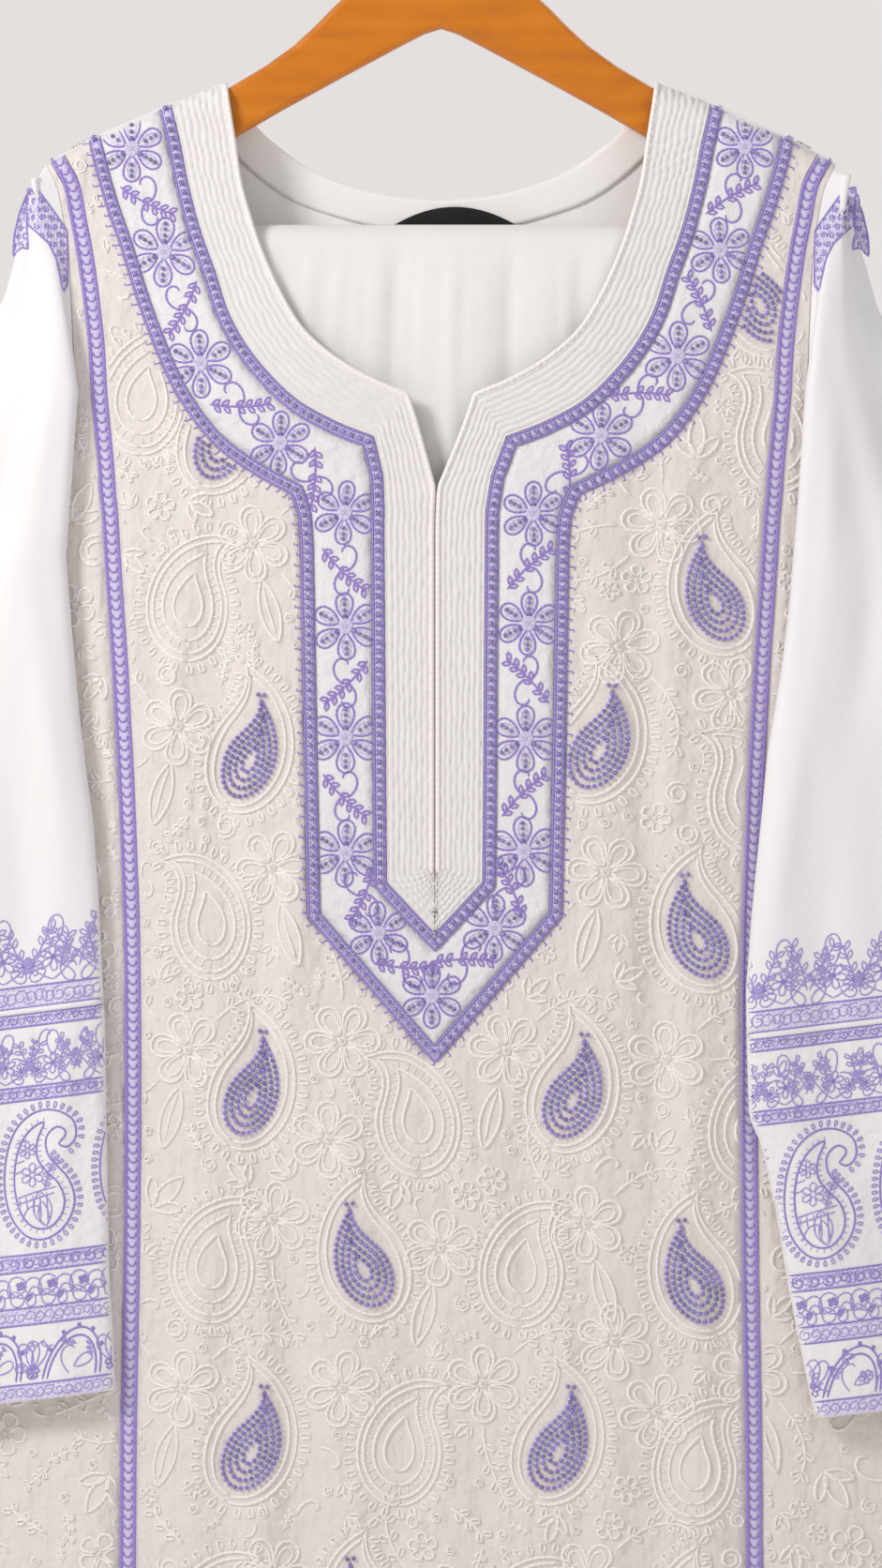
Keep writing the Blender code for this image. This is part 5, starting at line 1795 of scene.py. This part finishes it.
def spray(chance, height):
    """A flower cluster with loops, curls and a tall leaf, growing up from the band."""
    fine = moved([drop(height * 0.46, height * 0.24)], 0, height * 0.5, chance.uniform(-14, 14))
    fine += moved(flower(height * 0.2, 6, 0.55, 0.1), 0, height * 0.36, chance.uniform(0, 60))
    fine += moved(flower(height * 0.15, 5, 0.5, 0.2), -height * 0.28, height * 0.26, 20)
    dark = moved([ring(1.3, 2.0, 12)], 0, height * 0.36)
    dark += moved([ring(1.2, 2.0, 12)], -height * 0.28, height * 0.26)
    fine += moved([stroke(height * 0.9, -70, 80, -120, 18)], 0, height * 0.05)
    fine += moved([stroke(height * 0.8, 60, -80, 150, 18)], 0, height * 0.05)
    for lean, size in ((-24, 0.62), (26, 0.7), (8, 0.5)):
        fine += moved(sprig(height * size, 4, height * 0.15), height * lean / 70, height * 0.2,
                      lean + chance.uniform(-8, 8))
    fine += moved([drop(height * 0.3, height * 0.16)], height * 0.1, height * 0.24, 140)
    fine += moved([drop(height * 0.26, height * 0.18)], -height * 0.1, height * 0.2, -120)
    return dark, fine


def petal_row(pitch, height):
    """One repeat of the row of rounded petals on a waving vine."""
    fine = [np.array([[-pitch / 2, height * 0.25], [-pitch / 4, height * 0.6],
                      [0, height * 0.5], [pitch / 4, height * 0.3], [pitch / 2, height * 0.25]])]
    fine += moved([drop(height * 0.66, height * 0.6)], 0, height * 0.3, 34)
    fine += moved([drop(height * 0.6, height * 0.54)], 0, height * 0.32, -38)
    fine += moved([drop(height * 0.5, height * 0.44)], pitch * 0.1, height * 0.48, 150)
    fine += moved([drop(height * 0.42, height * 0.3)], -pitch * 0.24, height * 0.42, 190)
    dark = moved(flower(height * 0.13, 4, 0.8, 0.1), pitch * 0.36, height * 0.62, 30)
    dark += moved([ring(height * 0.12, 1.6, 12)], -pitch * 0.38, height * 0.26)
    return dark, fine


def arch(pitch, height):
    """One repeat of the arches over the cuff band, with loops between them."""
    turn = np.linspace(0.0, math.pi, 18)
    fine, bold = [], []
    for scale in (1.0, 0.84):
        x = np.cos(turn) * pitch * 0.36 * scale + pitch * 0.12
        y = np.sin(turn) * height * 0.82 * scale + height * 0.04
        bold.append(np.stack([x + y * 0.18, y], axis=1))
    for offset, turn_by in ((-0.36, -24.0), (-0.36, 24.0), (-0.36, 0.0)):
        fine += moved([drop(height * 0.5, height * 0.26)], pitch * offset, height * 0.22, turn_by)
    fine += moved([stroke(height * 0.7, -40, 60, 160, 16)], pitch * 0.1, height * 0.1)
    fine += moved([drop(height * 0.36, height * 0.2)], pitch * 0.16, height * 0.2, 60)
    dark = moved(flower(height * 0.12, 5, 0.8, 0.1), -pitch * 0.36, height * 0.18)
    for step in range(5):
        angle = math.pi * (0.2 + 0.15 * step)
        x, y = math.cos(angle) * pitch * 0.36 + pitch * 0.12, math.sin(angle) * height * 0.82
        dark += moved([drop(2.6, 1.6, 8)], x + y * 0.18, y + 0.6, 90 - math.degrees(angle))
    return bold + dark, fine


def scattered(chance, low, high, start, end, sizes):
    """Small motifs filling a band between two heights, no two overlapping."""
    ground, paths = Ground(), []
    for size, tries in sizes:
        for _ in range(tries):
            x, y = chance.uniform(low, high), chance.uniform(start + size * 0.8, end - size * 0.8)
            if ground.free(x, y, size * 0.85):
                ground.take(x, y, size)
                kind = int(chance.integers(0, 5)) if size > 2 else 0
                paths += moved(small_motif(kind, size, chance), x, y, chance.uniform(-90, 90))
    return paths


def build_sleeve_embroidery(side):
    surface, edges = sleeve_surface(side)
    chance = np.random.default_rng(7 if side == "left" else 8)
    sign, cuff = SLEEVES[side]["sign"], SLEEVES[side]["cuff"]
    first = SLEEVE_FIRST_MOTIF[side]
    low, high = (-312.0, -138.0) if sign < 0 else (138.0, 312.0)

    def on_sleeve(places):
        x = sign * places[:, 0]
        inner = np.interp(places[:, 1], edges[:, 0], edges[:, 1]) + 0.6
        outer = np.interp(places[:, 1], edges[:, 0], edges[:, 2]) - 0.8
        return (x > inner) & (x < outer) & (places[:, 1] > cuff + 0.4)

    def line_at(height):
        x = np.arange(low, high, 3.0)
        return np.stack([x, 0 * x + cuff + height], axis=1)

    bold, fine, ground = [], [], []
    for start, end, dark in BAND_ROWS:
        bold += [line_at(start), line_at(end)]
        middle, half = (start + end) / 2, (end - start) / 2
        count = int((end - start) / 1.7)
        ground += [line_at(start + (end - start) * (row + 0.5) / count) for row in range(count)]
        for index, x in enumerate(np.arange(low, high, 3.7 if dark else 4.6)):
            loop = moved([ring(half * 0.78, 1.25, 14)], x, cuff + middle, chance.uniform(0, 360))
            (bold if dark and index % 2 else fine).extend(loop)
            if dark:
                fine += moved([ring(half * 0.5, 1.1, 9)], x + 1.9, cuff + middle + half * 0.3)

    def columns(pitch, phase=0.0):
        count = int((high - low) / pitch) + 2
        start = first + phase - pitch * math.ceil((first + phase - low) / pitch)
        return [start + pitch * step for step in range(count + 1)]

    def place(parts, x, start, size=1.0, flip=False):
        for kept, paths in zip((bold, fine), parts):
            kept += moved(paths, x, cuff + start, 0, size, flip)

    for x in columns(PAISLEY_PITCH):
        place(sleeve_paisley(), x, PAISLEYS_FROM + 36.5, 0.97)
    for start, pitch, height, size in ((SPRAYS_FROM, 24.0, 34.0, 1.0),
                                       (FLORAL_FROM, 23.0, 29.0, 0.92)):
        for index, x in enumerate(columns(pitch, 6.0)):
            place(spray(chance, height), x, start, size, index % 2 == 1)
    for x in columns(PETAL_PITCH):
        place(petal_row(PETAL_PITCH, 16.5), x, PETALS_FROM)
    for x in columns(ARCH_PITCH, 10.0):
        place(arch(ARCH_PITCH, 28.0), x, ARCS_FROM)
    for start, end, sizes in (
            (FLORAL_FROM + 11.0, FLORAL_FROM + 28.0, ((4.6, 40),)),
            (ARCS_FROM, ARCS_FROM + 27.0, ((3.6, 40),))):
        fine += moved(scattered(chance, low, high, start, end, sizes), 0, cuff)

    name = "sleeve_" + side
    sew(name + "_bold", clipped(bold, on_sleeve), surface, "lavender", 0.58, 0.5, 2.0)
    sew(name + "_fine", clipped(fine, on_sleeve), surface, "sleeve_thread",
        0.45, 0.42, 2.0)
    sew(name + "_ground", clipped(ground, on_sleeve), surface, "pale_lavender",
        0.85, 0.22, 4.0)
    sew(name + "_piping", clipped([line_at(PIPING_AT)], on_sleeve), surface, "satin",
        1.7, 1.5, 3.0)


# The cap patches' corners: distance from the middle and height
CAP_PATCHES = (
    ((199.5, -194.0), (194.0, -195.5), (187.0, -205.0), (180.0, -215.0), (179.5, -241.0),
     (181.5, -245.0), (185.0, -229.0), (188.5, -221.5), (196.0, -214.5), (199.0, -212.0)),
    ((200.0, -197.0), (199.6, -214.0), (198.4, -224.0), (202.0, -222.5), (206.5, -227.0),
     (206.0, -217.0), (203.5, -206.0)),
)


def build_cap_patch(side):
    """The lavender band that crosses the sleeve near its cap."""
    surface, _ = sleeve_surface(side)
    sign = SLEEVES[side]["sign"]
    outlines = [np.array(patch) * [sign, 1.0] for patch in CAP_PATCHES]

    def to_level(places):
        level = places[:, 1].copy()
        for _ in range(3):
            level += places[:, 1] - surface(np.stack([places[:, 0], level], axis=1))[:, 2]
        return np.stack([places[:, 0], level], axis=1)

    def in_patch(places):
        return inside_outline(places, outlines[0]) | inside_outline(places, outlines[1])

    ground = [np.array([[x, -180.0], [x + sign * 0.1, -250.0]])
              for x in np.arange(176.0, 210.0, 1.5) * sign]
    chance = np.random.default_rng(5)
    loops = []
    for row in range(14):
        for column in range(9):
            x = sign * (178.0 + column * 4.0 + 2.0 * (row % 2))
            loops += moved([ring(1.9, 1.3, 11)], x, -188.0 - row * 4.2, chance.uniform(0, 360))
    closed = [np.concatenate([outline, outline[:1]]) for outline in outlines]
    for name, paths, material, width, lift in (
            ("ground", clipped(ground, in_patch, 1.0), "pale_lavender", 0.8, 0.0),
            ("loops", clipped(loops, in_patch, 1.0), "lavender", 0.42, 0.3),
            ("edge", closed, "lavender", 0.5, 0.2)):
        paths = [to_level(resampled(line, 1.5)[0]) for line in paths]
        sew("cap_patch_" + name + "_" + side, paths, surface, material, width, 0.4, 1.6, lift)


for sleeve_side in SLEEVES:
    build_sleeve_embroidery(sleeve_side)
    build_cap_patch(sleeve_side)


# Camera, light and stage, in metres
LENS_MM = 190.0
SENSOR_MM = 36.0
CLOTH_FACE = -0.02
STAGE_SIZE = 60
FLOOR_HEIGHT = -1.75
WALL_DISTANCE = 17
WORLD_LIGHT = 0.47
WORLD_COLOUR = (0.95, 0.965, 1.0)

# Area lights: name, place, target, size, power and colour
LIGHTS = (
    ("key", (-1.35, -1.2, 0.55), (0.0, 0.0, -0.45), 0.5, 22.5, (1.0, 0.985, 0.965)),
    ("fill", (1.3, -2.0, 0.6), (0.0, 0.0, -0.5), 1.4, 6.5, (0.98, 0.985, 1.0)),
    ("back_fill", (0.6, 2.2, 0.6), (0.0, 0.0, -0.5), 1.6, 14.0, (1.0, 1.0, 1.0)),
)


def aim(item, target):
    direction = np.array(target) - np.array(item.location)
    item.rotation_euler = (
        math.atan2(math.hypot(direction[0], direction[1]), -direction[2]),
        0.0,
        math.atan2(direction[1], direction[0]) - math.pi / 2,
    )


def add_light(name, place, target, size, power, colour):
    data = bpy.data.lights.new(name, "AREA")
    data.size = size
    data.energy = power
    data.color = colour
    light = bpy.data.objects.new(name, data)
    light.location = place
    bpy.context.scene.collection.objects.link(light)
    aim(light, target)


def build_camera():
    data = bpy.data.cameras.new("photo_camera")
    data.lens = LENS_MM
    data.sensor_width = SENSOR_MM
    camera = bpy.data.objects.new("photo_camera", data)
    view_height = PHOTO_ROWS * PIXEL * MM
    distance = view_height * data.lens / data.sensor_width
    middle = (TOP_ROW_HEIGHT - PHOTO_ROWS / 2 * PIXEL) * MM
    camera.location = (0.0, CLOTH_FACE - distance, middle)
    camera.rotation_euler = (math.pi / 2, 0.0, 0.0)
    bpy.context.scene.collection.objects.link(camera)
    bpy.context.scene.camera = camera


def build_stage():
    material = stage_material("pale_wall", WALL_GREY)
    for name, place, turn in (("floor", (0, 0, FLOOR_HEIGHT), 0.0),
                              ("wall", (0, WALL_DISTANCE, 0), math.pi / 2)):
        bpy.ops.mesh.primitive_plane_add(size=STAGE_SIZE, location=place, rotation=(turn, 0, 0))
        plane = bpy.context.object
        plane.name = name
        plane.data.materials.append(material)


def build_light():
    world = bpy.data.worlds.new("studio")
    bpy.context.scene.world = world
    world.use_nodes = True
    background = world.node_tree.nodes["Background"]
    background.inputs["Color"].default_value = (*WORLD_COLOUR, 1.0)
    background.inputs["Strength"].default_value = WORLD_LIGHT
    for row in LIGHTS:
        add_light(*row)
    bpy.context.scene.view_settings.view_transform = "Standard"


build_camera()
build_stage()
build_light()
